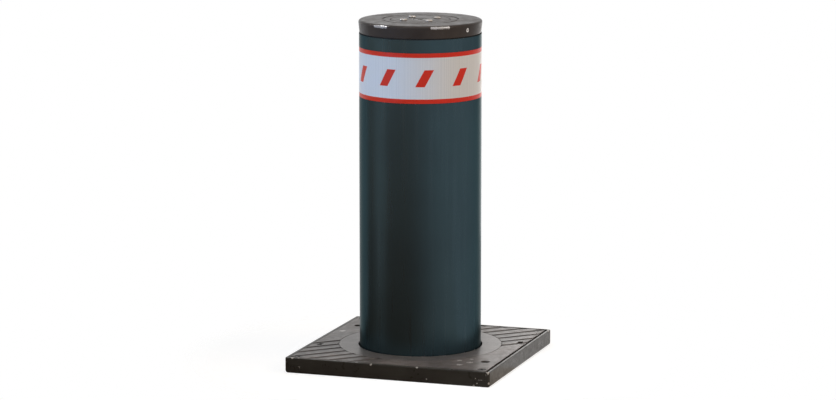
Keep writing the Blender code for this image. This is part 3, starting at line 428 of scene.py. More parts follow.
def carved(mesh, cutter_mesh, operation="DIFFERENCE"):
    """The mesh with the cutter taken out of it, or what the two share."""
    body = placed("carved", mesh)
    cutter = placed("cutter", cutter_mesh)
    boolean = body.modifiers.new("Cut", "BOOLEAN")
    boolean.operation = operation
    boolean.solver = "EXACT"
    boolean.object = cutter
    depsgraph = bpy.context.evaluated_depsgraph_get()
    result = bpy.data.meshes.new_from_object(body.evaluated_get(depsgraph))
    result.name = mesh.name
    bpy.data.objects.remove(body)
    bpy.data.objects.remove(cutter)
    result.shade_smooth()
    result.set_sharp_from_angle(angle=SHARP_ANGLE)
    return result


def on_circle(radius, count, level):
    angles = [math.tau * index / count for index in range(count)]
    return [Vector((radius * math.cos(angle), radius * math.sin(angle), level)) for angle in angles]


# Node materials
class Paint:
    """One material's node tree, with short calls for what the finishes share."""

    def __init__(self, name):
        self.material = bpy.data.materials.new(name)
        self.material.use_nodes = True
        self.tree = self.material.node_tree
        self.shader = self.tree.nodes["Principled BSDF"]

    def plug(self, socket, value):
        if isinstance(value, bpy.types.NodeSocket):
            self.tree.links.new(value, socket)
        else:
            socket.default_value = value

    def add(self, kind, inputs, **settings):
        node = self.tree.nodes.new("ShaderNode" + kind)
        for key, value in settings.items():
            setattr(node, key, value)
        for key, value in inputs.items():
            self.plug(node.inputs[key], value)
        return node

    def set(self, **sockets):
        """Shader inputs by name, with _ for a space."""
        for name, value in sockets.items():
            self.plug(self.shader.inputs[name.replace("_", " ")], value)

    def math(self, operation, first, second=0.0):
        return self.add("Math", {0: first, 1: second}, operation=operation).outputs[0]

    def place(self, stretch=None):
        """Object coordinates, which are the frame's own metres."""
        coords = self.add("TexCoord", {}).outputs["Object"]
        if stretch is None:
            return coords
        return self.add("Mapping", {"Vector": coords, "Scale": stretch}).outputs[0]

    def noise(self, size, detail=2.0, stretch=None):
        """Noise from 0 to 1 with patches about size across."""
        inputs = {"Vector": self.place(stretch), "Scale": 1 / size, "Detail": detail}
        return self.add("TexNoise", inputs).outputs["Fac"]

    def cells(self, size):
        """A colour of its own in each cell, with cells about size across."""
        inputs = {"Vector": self.place(), "Scale": 1 / size}
        return self.add("TexVoronoi", inputs).outputs["Color"]

    def lines(self, distance, density):
        """Noise from 0 to 1 that varies along one distance alone."""
        inputs = {"W": self.math("MULTIPLY", distance, density)}
        return self.add("TexNoise", inputs, noise_dimensions="1D").outputs["Fac"]

    def ramp(self, value, start, end, low=0.0, high=1.0):
        """The value's stretch from start to end, spread from low to high and held past the ends."""
        inputs = {"Value": value, "From Min": start, "From Max": end, "To Min": low, "To Max": high}
        return self.add("MapRange", inputs).outputs["Result"]

    def mix(self, factor, first, second):
        return self.add("Mix", {0: factor, 6: first, 7: second}, data_type="RGBA").outputs[2]

    def edges(self, reach):
        """1 on convex and concave edges, falling to 0 a reach away."""
        soft = self.add("Bevel", {"Radius": reach}, samples=6).outputs["Normal"]
        normal = self.add("NewGeometry", {}).outputs["Normal"]
        dot = self.add("VectorMath", {0: soft, 1: normal}, operation="DOT_PRODUCT").outputs["Value"]
        return self.ramp(dot, 0.995, 0.90)

    def worn(self, reach, patch, amount):
        """Edges where the finish has gone, broken up by noise."""
        broken = self.ramp(self.noise(patch, 4.0), 0.62 - amount, 0.70 - amount)
        return self.math("MULTIPLY", self.edges(reach), broken)

    def marks(self, places, raggedness):
        """1 inside any of the given spots, with ragged edges."""
        ragged = self.math("MULTIPLY", self.noise(0.0035, 4.0), raggedness)
        found = 0.0
        for place, reach in places:
            inputs = {0: self.place(), 1: place}
            away = self.add("VectorMath", inputs, operation="DISTANCE").outputs["Value"]
            spot = self.math("ADD", self.math("DIVIDE", away, reach), ragged)
            found = self.math("MAXIMUM", self.ramp(spot, 1.25, 1.05), found)
        return found

    def bump(self, height, depth):
        return self.add("Bump", {"Height": height, "Distance": depth, "Strength": 1.0}).outputs[0]


def post_paint():
    """Semi-gloss metallic paint with a fine orange peel and faint vertical handling marks."""
    paint = Paint("post_paint")
    drift = paint.ramp(paint.noise(0.16), 0.35, 0.65)
    color = paint.mix(drift, srgb(50, 64, 70), srgb(53, 69, 75))
    rubbed = paint.ramp(paint.noise(0.012, 5.0, (1.0, 1.0, 0.05)), 0.50, 0.72)
    color = paint.mix(paint.math("MULTIPLY", rubbed, 0.3), color, srgb(60, 75, 82))
    bare = paint.worn(0.0010, 0.006, 0.02)
    paint.set(Base_Color=paint.mix(bare, color, srgb(128, 130, 131)))
    paint.set(Metallic=0.88, Specular_IOR_Level=0.05, Specular_Tint=(0.44, 0.48, 0.48, 1.0))
    paint.set(Roughness=paint.ramp(rubbed, 0.0, 1.0, 0.30, 0.24))
    paint.set(Normal=paint.bump(paint.noise(0.0016, 2.0), 0.00002))
    return paint.material


def cast_paint(name, dark, light, bare, roughness, gloss, wear, knocks_and_highlights, raggedness, darker_below_level=None):
    """Painted casting: fine skin, dust in patches, bare metal along its edges, where it was knocked and in
    spots given as painted highlights.

    Every face below the given level, in grooves, slots and holes and down the sides, is darker.
    """
    paint = Paint(name)
    dust = paint.ramp(paint.noise(0.05, 6.0), 0.35, 0.70)
    smears = paint.ramp(paint.noise(0.012, 5.0), 0.40, 0.70)
    color = paint.mix(dust, dark, light)
    gone = paint.worn(0.0010, 0.012, wear)
    # The given spots are knocks, and on the cap's rim painted highlights.
    gone = paint.math("MAXIMUM", gone, paint.marks(knocks_and_highlights, raggedness))
    color = paint.mix(gone, color, bare)
    # Darker below the given level.
    if darker_below_level is not None:
        height = paint.add("SeparateXYZ", {0: paint.place()}).outputs[2]
        sunk = paint.ramp(height, darker_below_level - 0.0004, darker_below_level - 0.0014)
        color = paint.mix(sunk, color, srgb(62, 57, 53))
    paint.set(Base_Color=color)
    paint.set(Metallic=paint.math("MULTIPLY", gone, 0.25))
    haze = paint.math("ADD", paint.math("MULTIPLY", dust, 0.05), paint.math("MULTIPLY", smears, 0.12))
    paint.set(Roughness=paint.math("ADD", haze, roughness), Specular_IOR_Level=gloss)
    coarse = paint.noise(0.0030, 4.0)
    skin = paint.math("ADD", coarse, paint.math("MULTIPLY", paint.noise(0.0009, 2.0), 0.5))
    paint.set(Normal=paint.bump(skin, 0.00006))
    return paint.material


def ring_steel():
    """Turned steel gone dark, with the tool's rings left in it."""
    paint = Paint("ring_steel")
    axes = paint.add("SeparateXYZ", {0: paint.place()}).outputs
    squares = [paint.math("POWER", axis, 2.0) for axis in axes[:2]]
    radius = paint.math("SQRT", paint.math("ADD", *squares))
    rings = paint.lines(radius, RING_TOOL_MARKS)
    stain = paint.ramp(paint.noise(0.03, 5.0), 0.35, 0.70)
    color = paint.mix(stain, srgb(80, 75, 72), srgb(106, 100, 97))
    color = paint.mix(paint.ramp(rings, 0.45, 0.75, 0.0, 0.5), color, srgb(118, 112, 109))
    gone = paint.worn(0.0012, 0.009, -0.06)
    paint.set(Base_Color=paint.mix(gone, color, srgb(176, 172, 168)), Metallic=0.2)
    paint.set(Roughness=paint.ramp(rings, 0.3, 0.7, 0.40, 0.32), Specular_IOR_Level=0.35)
    paint.set(Normal=paint.bump(rings, 0.00003))
    return paint.material


def band_film():
    """Silver reflective film with red edges and slanted red bars."""
    paint = Paint("band_film")
    axes = paint.add("SeparateXYZ", {0: paint.place()}).outputs
    along = paint.math("MULTIPLY", paint.math("ARCTAN2", axes[1], axes[0]), BAND_R)
    height = paint.math("SUBTRACT", axes[2], (BAND_TOP + BAND_FOOT) / 2)
    lines = paint.lines(along, BAND_LINES)
    silver = paint.mix(paint.ramp(lines, 0.30, 0.70), srgb(194, 194, 195), srgb(231, 229, 227))
    inner_half = (BAND_TOP - BAND_FOOT) / 2 - BAND_BORDER
    border = paint.math("GREATER_THAN", paint.math("ABSOLUTE", height), inner_half)
    leaning = paint.math("SUBTRACT", along, paint.math("MULTIPLY", height, BAR_LEAN))
    step = paint.math("FLOORED_MODULO", leaning, math.tau * BAND_R / BAR_COUNT)
    across = paint.math("LESS_THAN", step, BAR_WIDTH)
    within = paint.math("LESS_THAN", paint.math("ABSOLUTE", height), BAR_HEIGHT / 2)
    red = paint.math("MAXIMUM", border, paint.math("MULTIPLY", across, within))
    crimson = paint.mix(paint.ramp(lines, 0.30, 0.70), srgb(200, 32, 8), srgb(222, 44, 16))
    paint.set(Base_Color=paint.mix(red, silver, crimson), Specular_IOR_Level=0.2)
    paint.set(Roughness=paint.ramp(lines, 0.30, 0.70, 0.30, 0.42))
    paint.set(Normal=paint.bump(lines, 0.00003))
    return paint.material


def zinc():
    """Hot-dip galvanising: spangle, dull runs and pale bloom."""
    paint = Paint("zinc_steel")
    spangle = paint.cells(0.012)
    shade = paint.add("SeparateColor", {0: spangle}).outputs[0]
    bloom = paint.ramp(paint.noise(0.06, 4.0, (1.0, 1.0, 0.35)), 0.45, 0.70)
    color = paint.mix(shade, srgb(150, 153, 156), srgb(182, 185, 188))
    color = paint.mix(paint.math("MULTIPLY", bloom, 0.6), color, srgb(200, 200, 198))
    paint.set(Base_Color=color, Metallic=0.75)
    paint.set(Roughness=paint.ramp(paint.math("ADD", shade, bloom), 0.0, 2.0, 0.36, 0.62))
    paint.set(Normal=paint.bump(paint.noise(0.004, 3.0), 0.00008))
    return paint.material


def plain_metal(name, color, tint, metallic, roughness, grain):
    """Machined or coated steel with a drifting tone and a fine grain."""
    paint = Paint(name)
    drift = paint.ramp(paint.noise(0.02, 4.0), 0.35, 0.65)
    paint.set(Base_Color=paint.mix(drift, color, tint), Metallic=metallic)
    fine = paint.noise(grain, 3.0)
    paint.set(Roughness=paint.ramp(fine, 0.3, 0.7, roughness, roughness + 0.12))
    paint.set(Normal=paint.bump(fine, 0.00002))
    return paint.material


def soft_matt(name, color, tint, roughness, grain, gloss=0.5):
    """Rubber or plastic with a moulded grain."""
    paint = Paint(name)
    paint.set(Specular_IOR_Level=gloss)
    drift = paint.ramp(paint.noise(0.015, 4.0), 0.35, 0.70)
    paint.set(Base_Color=paint.mix(drift, color, tint))
    paint.set(Roughness=paint.ramp(drift, 0.0, 1.0, roughness, roughness + 0.15))
    paint.set(Normal=paint.bump(paint.noise(grain, 3.0), 0.00005))
    return paint.material


FINISHES = {
    "post_paint": post_paint(),
    "band_film": band_film(),
    # Its bare colour is bright because the rim spots also serve as painted highlights.
    "cap_cast": cast_paint(
        "cap_cast", dark=srgb(53, 46, 42), light=srgb(65, 57, 52), bare=srgb(160, 156, 153),
        roughness=0.28, gloss=0.12, wear=-0.04, knocks_and_highlights=CAP_HIGHLIGHTS_AND_KNOCKS, raggedness=RIM_RAGGEDNESS,
    ),
    "plate_cast": cast_paint(
        "plate_cast", dark=srgb(70, 64, 61), light=srgb(112, 104, 99), bare=srgb(190, 185, 181),
        roughness=0.34, gloss=0.42, wear=-0.02, knocks_and_highlights=PLATE_SCUFFS, raggedness=KNOCK_RAGGEDNESS,
        darker_below_level=PLATE_TOP,
    ),
    "ring_steel": ring_steel(),
    "frame_steel": cast_paint(
        "frame_steel", dark=srgb(46, 43, 38), light=srgb(54, 51, 45), bare=srgb(176, 170, 163),
        roughness=0.26, gloss=0.18, wear=0.06, knocks_and_highlights=FRAME_KNOCKS, raggedness=KNOCK_RAGGEDNESS,
    ),
    "rubber": soft_matt("rubber", srgb(18, 18, 18), srgb(32, 31, 30), 0.70, 0.0012),
    "screw_steel": plain_metal("screw_steel", srgb(196, 188, 182), srgb(214, 206, 200), 1.0, 0.26, 0.0006),
    "zinc_steel": zinc(),
    "guide_plastic": soft_matt("guide_plastic", srgb(202, 198, 182), srgb(214, 210, 196), 0.45, 0.0010),
    "black_steel": plain_metal("black_steel", srgb(26, 26, 27), srgb(36, 36, 37), 0.0, 0.36, 0.0012),
    "bright_steel": plain_metal("bright_steel", srgb(176, 177, 178), srgb(196, 197, 198), 1.0, 0.14, 0.0005),
    "key_steel": plain_metal("key_steel", srgb(96, 93, 90), srgb(120, 116, 112), 1.0, 0.32, 0.0006),
}
BLACK_SCREW = plain_metal("black_screw", srgb(30, 29, 28), srgb(46, 44, 42), 0.6, 0.40, 0.0006)
DULL_SCREW = soft_matt("dull_screw", srgb(206, 200, 194), srgb(228, 222, 216), 0.55, 0.0006)
SEAL_RUBBER = soft_matt("seal_rubber", srgb(40, 41, 41), srgb(50, 50, 50), 0.80, 0.0012, 0.0)
WELD_METAL = plain_metal("weld_metal", srgb(128, 130, 132), srgb(168, 170, 172), 0.8, 0.40, 0.0010)


# Pieces
def add_piece(name, mesh, node, material=None):
    """A piece that stands for a node: on its body, in its slot's finish unless given another."""
    obj = placed(name, mesh)
    obj.data.materials.clear()
    obj.data.materials.append(material or FINISHES[SLOT_OF[node]])
    obj.modifiers.new("Flat faces", "WEIGHTED_NORMAL").keep_sharp = True
    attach(obj, NODES[node]["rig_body"])
    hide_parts(node)
    return obj


def add_trim(name, mesh, body, material):
    """A piece with no node of its own, fixed to a body."""
    obj = placed(name, mesh)
    obj.data.materials.clear()
    obj.data.materials.append(material)
    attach(obj, body)
    return obj


def build_post():
    recess = BAND_R - BAND_THICKNESS - FIT
    shell = turned("post_shell", [
        (POST_R, POST_TOP, 0),
        (POST_R, BAND_TOP + FIT, 0),
        (recess, BAND_TOP + FIT, 0),
        (recess, BAND_FOOT - FIT, 0),
        (POST_R, BAND_FOOT - FIT, 0),
        (POST_R, POST_FOOT, 0.0015),
        (POST_INNER_R, POST_FOOT, 0.0008),
        (POST_INNER_R, POST_TOP, 0.0008),
    ])
    for bolt in ("lock_bolt_rear", "lock_bolt_front"):
        low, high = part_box(bolt)
        outward = math.copysign(POST_R + CASING_WALL, (low + high).y)
        inward = outward / 2
        slot = block(
            "bolt_slot",
            (low.x - RUN, min(inward, outward), low.z - RUN),
            (high.x + RUN, max(inward, outward), high.z + RUN),
        )
        shell = carved(shell, slot)
    add_piece("post_shell", shell, "post_tube")


def build_band():
    film = turned("band_film", [
        (BAND_R, BAND_TOP, 0.0002),
        (BAND_R, BAND_FOOT, 0.0002),
        (BAND_R - BAND_THICKNESS, BAND_FOOT, 0),
        (BAND_R - BAND_THICKNESS, BAND_TOP, 0),
    ])
    add_piece("band_film", film, "reflective_band")


def build_gasket():
    """Rubber squeezed out flush between the post and the cap."""
    low, high = levels("cap_gasket")
    bulge = turned("gasket_bulge", [
        (POST_R - FIT, high, 0.0004),
        (POST_R - FIT, low, 0.0004),
        (POST_INNER_R, low, 0),
        (POST_INNER_R, high, 0),
    ])
    add_piece("gasket_bulge", bulge, "cap_gasket", SEAL_RUBBER)


def radial(point):
    """Matrix that lays +Z along the radius through a point, with its origin there."""
    turn = math.atan2(point.y, point.x)
    return Matrix.Translation(point) @ Matrix.Rotation(turn, 4, "Z") @ Matrix.Rotation(math.pi / 2, 4, "Y")


def build_cap():
    recess = COVER_R + COVER_GAP
    floor = COVER_FOOT - FIT
    foot_r = CAP_R - CAP_TAPER
    skirt = foot_r - CAP_SKIRT
    groove_in = CAP_GROOVE_R - CAP_GROOVE_WIDTH / 2
    groove_out = CAP_GROOVE_R + CAP_GROOVE_WIDTH / 2
    groove_floor = CAP_TOP - CAP_GROOVE_DEPTH
    cap = turned("cap_casting", [
        (CAP_R, CAP_TOP, CAP_RIM_ROUND),
        (foot_r, CAP_FOOT, 0.0003),
        (skirt, CAP_FOOT, 0.0005),
        (skirt, CAP_TOP - CAP_WALL, 0),
        (recess + CAP_WALL, CAP_TOP - CAP_WALL, 0.0008),
        (recess + CAP_WALL, floor - CAP_WALL, 0.0008),
        (JOURNAL_R + RUN, floor - CAP_WALL, 0.0004),
        (JOURNAL_R + RUN, floor, 0.0004),
        (recess, floor, 0.0006),
        (recess, CAP_TOP, 0.0008),
        (groove_in, CAP_TOP, 0.0006),
        (groove_in, groove_floor, 0.0004),
        (groove_out, groove_floor, 0.0004),
        (groove_out, CAP_TOP, 0.0006),
    ])
    hole = plain_hole("grub_hole", GRUB_R + FIT, -GRUB_LENGTH, GRUB_LENGTH)
    for _, point in middles("cap_screw", 2):
        cap = carved(cap, moved(hole, radial(point)))
    cap = carved(cap, lock_screw_holes())
    add_piece("cap_casting", cap, "cap")


def lock_screw_holes():
    reach = CAP_TOP - CAP_FOOT
    hole = plain_hole("lock_screw_hole", LOCK_SCREW_R + FIT, -reach, reach)
    places = [Matrix.Translation((point.x, point.y, CAP_TOP)) for _, point in middles("lock_cover_screw", 4)]
    return joined("lock_screw_holes", [moved(hole, place) for place in places])


def build_lock_cover():
    flange = KEY_FLANGE_R + RUN
    cover = turned("lock_cover_disc", [
        (COVER_R, CAP_TOP, 0.0009),
        (COVER_R, COVER_FOOT, 0.0004),
        (flange, COVER_FOOT, 0),
        (flange, CAP_TOP - KEY_LIP, 0),
        (KEY_R + RUN, CAP_TOP - KEY_LIP, 0),
        (KEY_R + RUN, CAP_TOP, 0.0008),
    ])
    add_piece("lock_cover_disc", carved(cover, lock_screw_holes()), "lock_cover")


def build_lock_screws():
    foot = levels("lock_cover_screw_1")[0] - CAP_TOP
    screw = turned("lock_screw", [
        (0, FIT + LOCK_HEAD_HEIGHT, 0),
        (LOCK_HEAD_R, FIT + LOCK_HEAD_HEIGHT, 0.0014),
        (LOCK_HEAD_R, FIT, 0.0003),
        (LOCK_SCREW_R, FIT, 0),
        (LOCK_SCREW_R, foot, 0.0006),
        (0, foot, 0),
    ], SMALL_STEPS)
    socket = extruded("lock_socket", hexagon(LOCK_SOCKET), LOCK_HEAD_HEIGHT)
    screw = carved(screw, moved(socket, Matrix.Translation((0, 0, FIT + LOCK_HEAD_HEIGHT))))
    for index, point in middles("lock_cover_screw", 4):
        place = Matrix.Translation((point.x, point.y, CAP_TOP))
        add_piece(f"lock_screw_{index}", moved(screw, place), f"lock_cover_screw_{index}", DULL_SCREW)


def build_key_rotor():
    flange_top = CAP_TOP - KEY_LIP - RUN
    rotor = turned("key_barrel", [
        (0, KEY_TOP, 0),
        (KEY_R, KEY_TOP, 0.0006),
        (KEY_R, flange_top, 0),
        (KEY_FLANGE_R, flange_top, 0.0004),
        (KEY_FLANGE_R, COVER_FOOT, 0.0004),
        (JOURNAL_R, COVER_FOOT, 0),
        (JOURNAL_R, KEY_FOOT, 0.0008),
        (0, KEY_FOOT, 0),
    ], MIDDLE_STEPS)
    socket = extruded("key_socket", hexagon(KEY_SOCKET), 2 * KEY_SOCKET_DEPTH)
    rotor = carved(rotor, moved(socket, Matrix.Translation((0, 0, KEY_TOP))))
    add_piece("key_barrel", rotor, "key_rotor")


def build_grub_screws():
    half = GRUB_LENGTH / 2
    screw = turned("grub_screw", [
        (0, half, 0),
        (GRUB_R, half, 0.0006),
        (GRUB_R, -half, 0.0008),
        (0, -half, 0),
    ], SMALL_STEPS)
    socket = extruded("grub_socket", hexagon(GRUB_SOCKET), GRUB_LENGTH / 2)
    screw = carved(screw, moved(socket, Matrix.Translation((0, 0, half))))
    for index, point in middles("cap_screw", 2):
        add_piece(f"grub_screw_{index}", moved(screw, radial(point)), f"cap_screw_{index}")


def groove_cutters():
    """Drafted channels with softened lips, along the diagonal in two corners."""
    half = GROOVE_WIDTH / 2
    lip = half + GROOVE_CHAMFER
    reach = 2 * PLATE_HALF
    outline = [
        (-half, -GROOVE_DEPTH, 0.0005),
        (half, -GROOVE_DEPTH, 0.0005),
        (half, -GROOVE_CHAMFER, 0),
        (lip, 0, 0),
        (lip, GROOVE_DEPTH, 0),
        (-lip, GROOVE_DEPTH, 0),
        (-lip, 0, 0),
        (-half, -GROOVE_CHAMFER, 0),
    ]
    upright = Matrix.Rotation(math.pi / 2, 4, "Z") @ Matrix.Rotation(math.pi / 2, 4, "X")
    channel = extruded("groove", outline, reach, upright)
    seat = RING_R + RING_JOINT
    channels = []
    for index in range(GROOVE_COUNT):
        offset = (index - (GROOVE_COUNT - 1) / 2) * GROOVE_PITCH
        near = math.sqrt(seat ** 2 - offset ** 2) - GROOVE_WIDTH
        for side in (0, math.pi):
            turn = Matrix.Rotation(math.radians(45) + side, 4, "Z")
            shift = Matrix.Translation((near + reach / 2, offset if side == 0 else -offset, PLATE_TOP))
            channels.append(moved(channel, turn @ shift))
    return joined("grooves", channels)


def slot_cutters():
    """Pry slots where the outermost grooves end."""
    outermost = (GROOVE_COUNT - 1) / 2 * GROOVE_PITCH
    x = PLATE_HALF - SLOT_INSET
    y = PLATE_HALF - outermost * math.sqrt(2)
    half = Vector((SLOT_WIDTH / 2, SLOT_LENGTH / 2, SLOT_DEPTH))
    places = [Vector((x, y, PLATE_TOP)), Vector((-x, -y, PLATE_TOP))]
    return joined("slots", [block("slot", place - half, place + half, SLOT_EDGE, 3) for place in places])


def lift_hole_cutters():
    """Blind holes for lifting eyes, with a softened mouth, in the corners without grooves."""
    x = PLATE_HALF - LIFT_HOLE_INSET
    y = PLATE_HALF - LIFT_HOLE_SETBACK
    hole = turned("lift_hole", [
        (0, LIFT_HOLE_DEPTH, 0),
        (LIFT_HOLE_R + LIFT_HOLE_CHAMFER, LIFT_HOLE_DEPTH, 0),
        (LIFT_HOLE_R + LIFT_HOLE_CHAMFER, 0, 0),
        (LIFT_HOLE_R, -LIFT_HOLE_CHAMFER, 0),
        (LIFT_HOLE_R, -LIFT_HOLE_DEPTH, 0.0010),
        (0, -LIFT_HOLE_DEPTH, 0),
    ], SMALL_STEPS)
    places = [Matrix.Translation((x, -y, PLATE_TOP)), Matrix.Translation((-x, y, PLATE_TOP))]
    return joined("lift_holes", [moved(hole, place) for place in places])


def screw_hole_cutters():
    head = COVER_SCREW_R + FIT
    shank = COVER_SHANK_R + FIT
    hole = turned("cover_screw_hole", [
        (0, FRAME_HEIGHT, 0),
        (head + COVER_SCREW_CHAMFER, FRAME_HEIGHT, 0),
        (head + COVER_SCREW_CHAMFER, 0, 0),
        (head, -COVER_SCREW_CHAMFER, 0),
        (head, -COVER_SCREW_SUNK, 0),
        (shank, -COVER_SCREW_SUNK - head + shank, 0),
        (shank, -FRAME_HEIGHT, 0),
        (0, -FRAME_HEIGHT, 0),
    ], SMALL_STEPS)
    places = [Matrix.Translation((point.x, point.y, PLATE_TOP)) for _, point in middles("cover_screw", 4)]
    return joined("cover_screw_holes", [moved(hole, place) for place in places])


def build_plate():
    plate = block(
        "plate_casting",
        (-PLATE_HALF - PLATE_DRIFT, -PLATE_HALF, PLATE_FOOT),
        (PLATE_HALF - PLATE_DRIFT, PLATE_HALF, PLATE_TOP),
        PLATE_EDGE,
    )
    seat = RING_R + RING_JOINT
    shelf = PLATE_FOOT + SHELF
    bore = turned("ring_bore", [
        (0, PLATE_TOP + FRAME_HEIGHT, 0),
        (seat, PLATE_TOP + FRAME_HEIGHT, 0),
        (seat, shelf, 0),
        (seat - RING_SEAT, shelf, 0),
        (seat - RING_SEAT, 0, 0),
        (0, 0, 0),
    ])
    for cutter in (bore, groove_cutters(), slot_cutters(), lift_hole_cutters(), screw_hole_cutters()):
        plate = carved(plate, cutter)
    add_piece("plate_casting", plate, "cover_plate")


def build_cover_screws():
    low, high = levels("cover_screw_1")
    top = high - PLATE_TOP
    screw = turned("cover_screw", [
        (0, top, 0),
        (COVER_SCREW_R, top, 0.0003),
        (COVER_SHANK_R, top - COVER_SCREW_R + COVER_SHANK_R, 0),
        (COVER_SHANK_R, low - PLATE_TOP, 0.0006),
        (0, low - PLATE_TOP, 0),
    ], SMALL_STEPS)
    socket = extruded("cover_socket", hexagon(COVER_SOCKET), COVER_SOCKET)
    screw = carved(screw, moved(socket, Matrix.Translation((0, 0, top))))
    for index, point in middles("cover_screw", 4):
        place = Matrix.Translation((point.x, point.y, PLATE_TOP))
        add_piece(f"plate_screw_{index}", moved(screw, place), f"cover_screw_{index}", BLACK_SCREW)


def build_ring():
    bore = RING_R - RING_WIDTH
    collar = turned("turned_ring", [
        (RING_R, PLATE_TOP, 0.0002),
        (RING_R, RING_FOOT, 0.0004),
        (bore, RING_FOOT, 0.0004),
        (bore, PLATE_TOP - RING_BORE_CHAMFER, 0.0003),
        (bore + RING_BORE_CHAMFER, PLATE_TOP, 0.0003),
    ])
    add_piece("turned_ring", collar, "collar_ring")


def frame_envelope():
    """The frame's outside: a square block with rounded corners and softened edges."""
    work = bmesh.new()
    work.from_mesh(square_plate("envelope", FRAME_HALF, 0, FRAME_HEIGHT, FRAME_CORNER))
    for level, radius in ((FRAME_HEIGHT, FRAME_TOP_EDGE), (0, FRAME_FOOT_EDGE)):
        rim = [edge for edge in work.edges if all(abs(vert.co.z - level) < WELD for vert in edge.verts)]
        bmesh.ops.bevel(work, geom=rim, offset=radius, segments=4, profile=0.5, affect="EDGES")
    return finished("envelope", work)


def build_frame():
    """Angle bars: the sides run the full depth, the ends butt between them."""
    leg_in = FRAME_HALF - FRAME_LEG
    ledge_in = leg_in - LEDGE_WIDTH
    outline = [
        (FRAME_HALF, FRAME_HEIGHT, 0),
        (leg_in, FRAME_HEIGHT, FRAME_INNER_EDGE),
        (leg_in, LEDGE_HEIGHT, 0),
        (ledge_in, LEDGE_HEIGHT, 0.0006),
        (ledge_in, 0, 0.0006),
        (FRAME_HALF, 0, 0),
    ]
    upright = Matrix.Rotation(math.pi / 2, 4, "X")
    holes = screw_hole_cutters()
    envelope = frame_envelope()
    for side, turn in (("right", 0), ("left", math.pi)):
        bar = extruded(f"side_bar_{side}", outline, 2 * FRAME_HALF, Matrix.Rotation(turn, 4, "Z") @ upright)
        bar = carved(carved(bar, envelope, "INTERSECT"), holes)
        add_piece(f"side_bar_{side}", bar, f"frame_{side}")
    long_half = leg_in - FIT
    short_half = long_half - LEDGE_WIDTH
    far = 2 * FRAME_HALF
    notches = joined("notches", [
        block("notch", (-FRAME_HALF, -far, -FRAME_HEIGHT), (-short_half, far, LEDGE_HEIGHT + FIT)),
        block("notch", (short_half, -far, -FRAME_HEIGHT), (FRAME_HALF, far, LEDGE_HEIGHT + FIT)),
    ])
    for side, turn in (("front", -math.pi / 2), ("back", math.pi / 2)):
        bar = extruded(f"end_bar_{side}", outline, 2 * long_half, Matrix.Rotation(turn, 4, "Z") @ upright)
        bar = carved(carved(bar, envelope, "INTERSECT"), notches)
        add_piece(f"end_bar_{side}", bar, f"frame_{side}")


def build_casing():
    inner = CASING_R - CASING_WALL
    tube = turned("casing_shell", [
        (CASING_R, CASING_TOP, 0.0006),
        (CASING_R, CASING_FOOT, 0.0006),
        (inner, CASING_FOOT, 0.0006),
        (inner, CASING_TOP, 0.0006),
    ])
    drain_low, drain_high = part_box("drain_stub")
    drain_r = (drain_high.z - drain_low.z) / 2
    drain_level = (drain_high.z + drain_low.z) / 2
    along_x = Matrix.Translation((0, 0, drain_level)) @ Matrix.Rotation(-math.pi / 2, 4, "Y")
    low, high = inner - CASING_WALL * 2, CASING_R + CASING_WALL
    hole = plain_hole("drain_hole", drain_r + FIT, low, high, MIDDLE_STEPS)
    add_piece("casing_shell", carved(tube, moved(hole, along_x)), "casing_tube")
    stub = turned("drain_pipe", [
        (drain_r, -drain_low.x, 0.0010),
        (drain_r, -drain_high.x, 0.0004),
        (drain_r - DRAIN_WALL, -drain_high.x, 0.0004),
        (drain_r - DRAIN_WALL, -drain_low.x, 0.0008),
    ], MIDDLE_STEPS)
    add_piece("drain_pipe", moved(stub, along_x), "drain_stub")


def square_plate(name, half, foot, top, corner):
    outline = [(half, half, corner), (-half, half, corner), (-half, -half, corner), (half, -half, corner)]
    return extruded(name, outline, top - foot, Matrix.Translation((0, 0, (top + foot) / 2)))


def build_flange_and_base():
    flange = square_plate("flange_plate", FLANGE_HALF, FLANGE_FOOT, FLANGE_TOP, FLANGE_CORNER)
    low, high = FLANGE_FOOT - CASING_WALL, FLANGE_TOP + CASING_WALL
    opening = plain_hole("flange_bore", CASING_R + FIT, low, high, LARGE_STEPS)
    add_piece("flange_plate", carved(flange, opening), "casing_flange")
    base = square_plate("base_plate", BASE_HALF, BASE_FOOT, BASE_TOP, BASE_CORNER)
    add_piece("base_plate", base, "casing_base")


def rippled(distance):
    """Radius of a weld bead: a chain of overlapping puddles."""
    return WELD_BEAD * (0.90 + 0.10 * abs(math.sin(math.pi * distance / WELD_RIPPLE)))


def build_welds():
    """Fillet welds round the casing at the flange and the base, and round the drain pipe."""
    steps = LARGE_STEPS * 3
    rings = [("flange_weld", FLANGE_FOOT), ("base_weld", CASING_FOOT)]
    for name, level in rings:
        path = on_circle(CASING_R, steps, level)
        bead = swept(name, path, rippled, WELD_SIDES, closed=True)
        add_trim(name, bead, "housing", WELD_METAL)
    drain_low, drain_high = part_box("drain_stub")
    drain_r = (drain_high.z - drain_low.z) / 2
    drain_level = (drain_high.z + drain_low.z) / 2
    saddle = []
    for index in range(steps // 3):
        angle = math.tau * index / (steps // 3)
        y = drain_r * math.cos(angle)
        x = -math.sqrt(CASING_R ** 2 - y ** 2)
        saddle.append(Vector((x, y, drain_level + drain_r * math.sin(angle))))
    bead = swept("drain_weld", saddle, rippled, WELD_SIDES, closed=True)
    add_trim("drain_weld", bead, "housing", WELD_METAL)


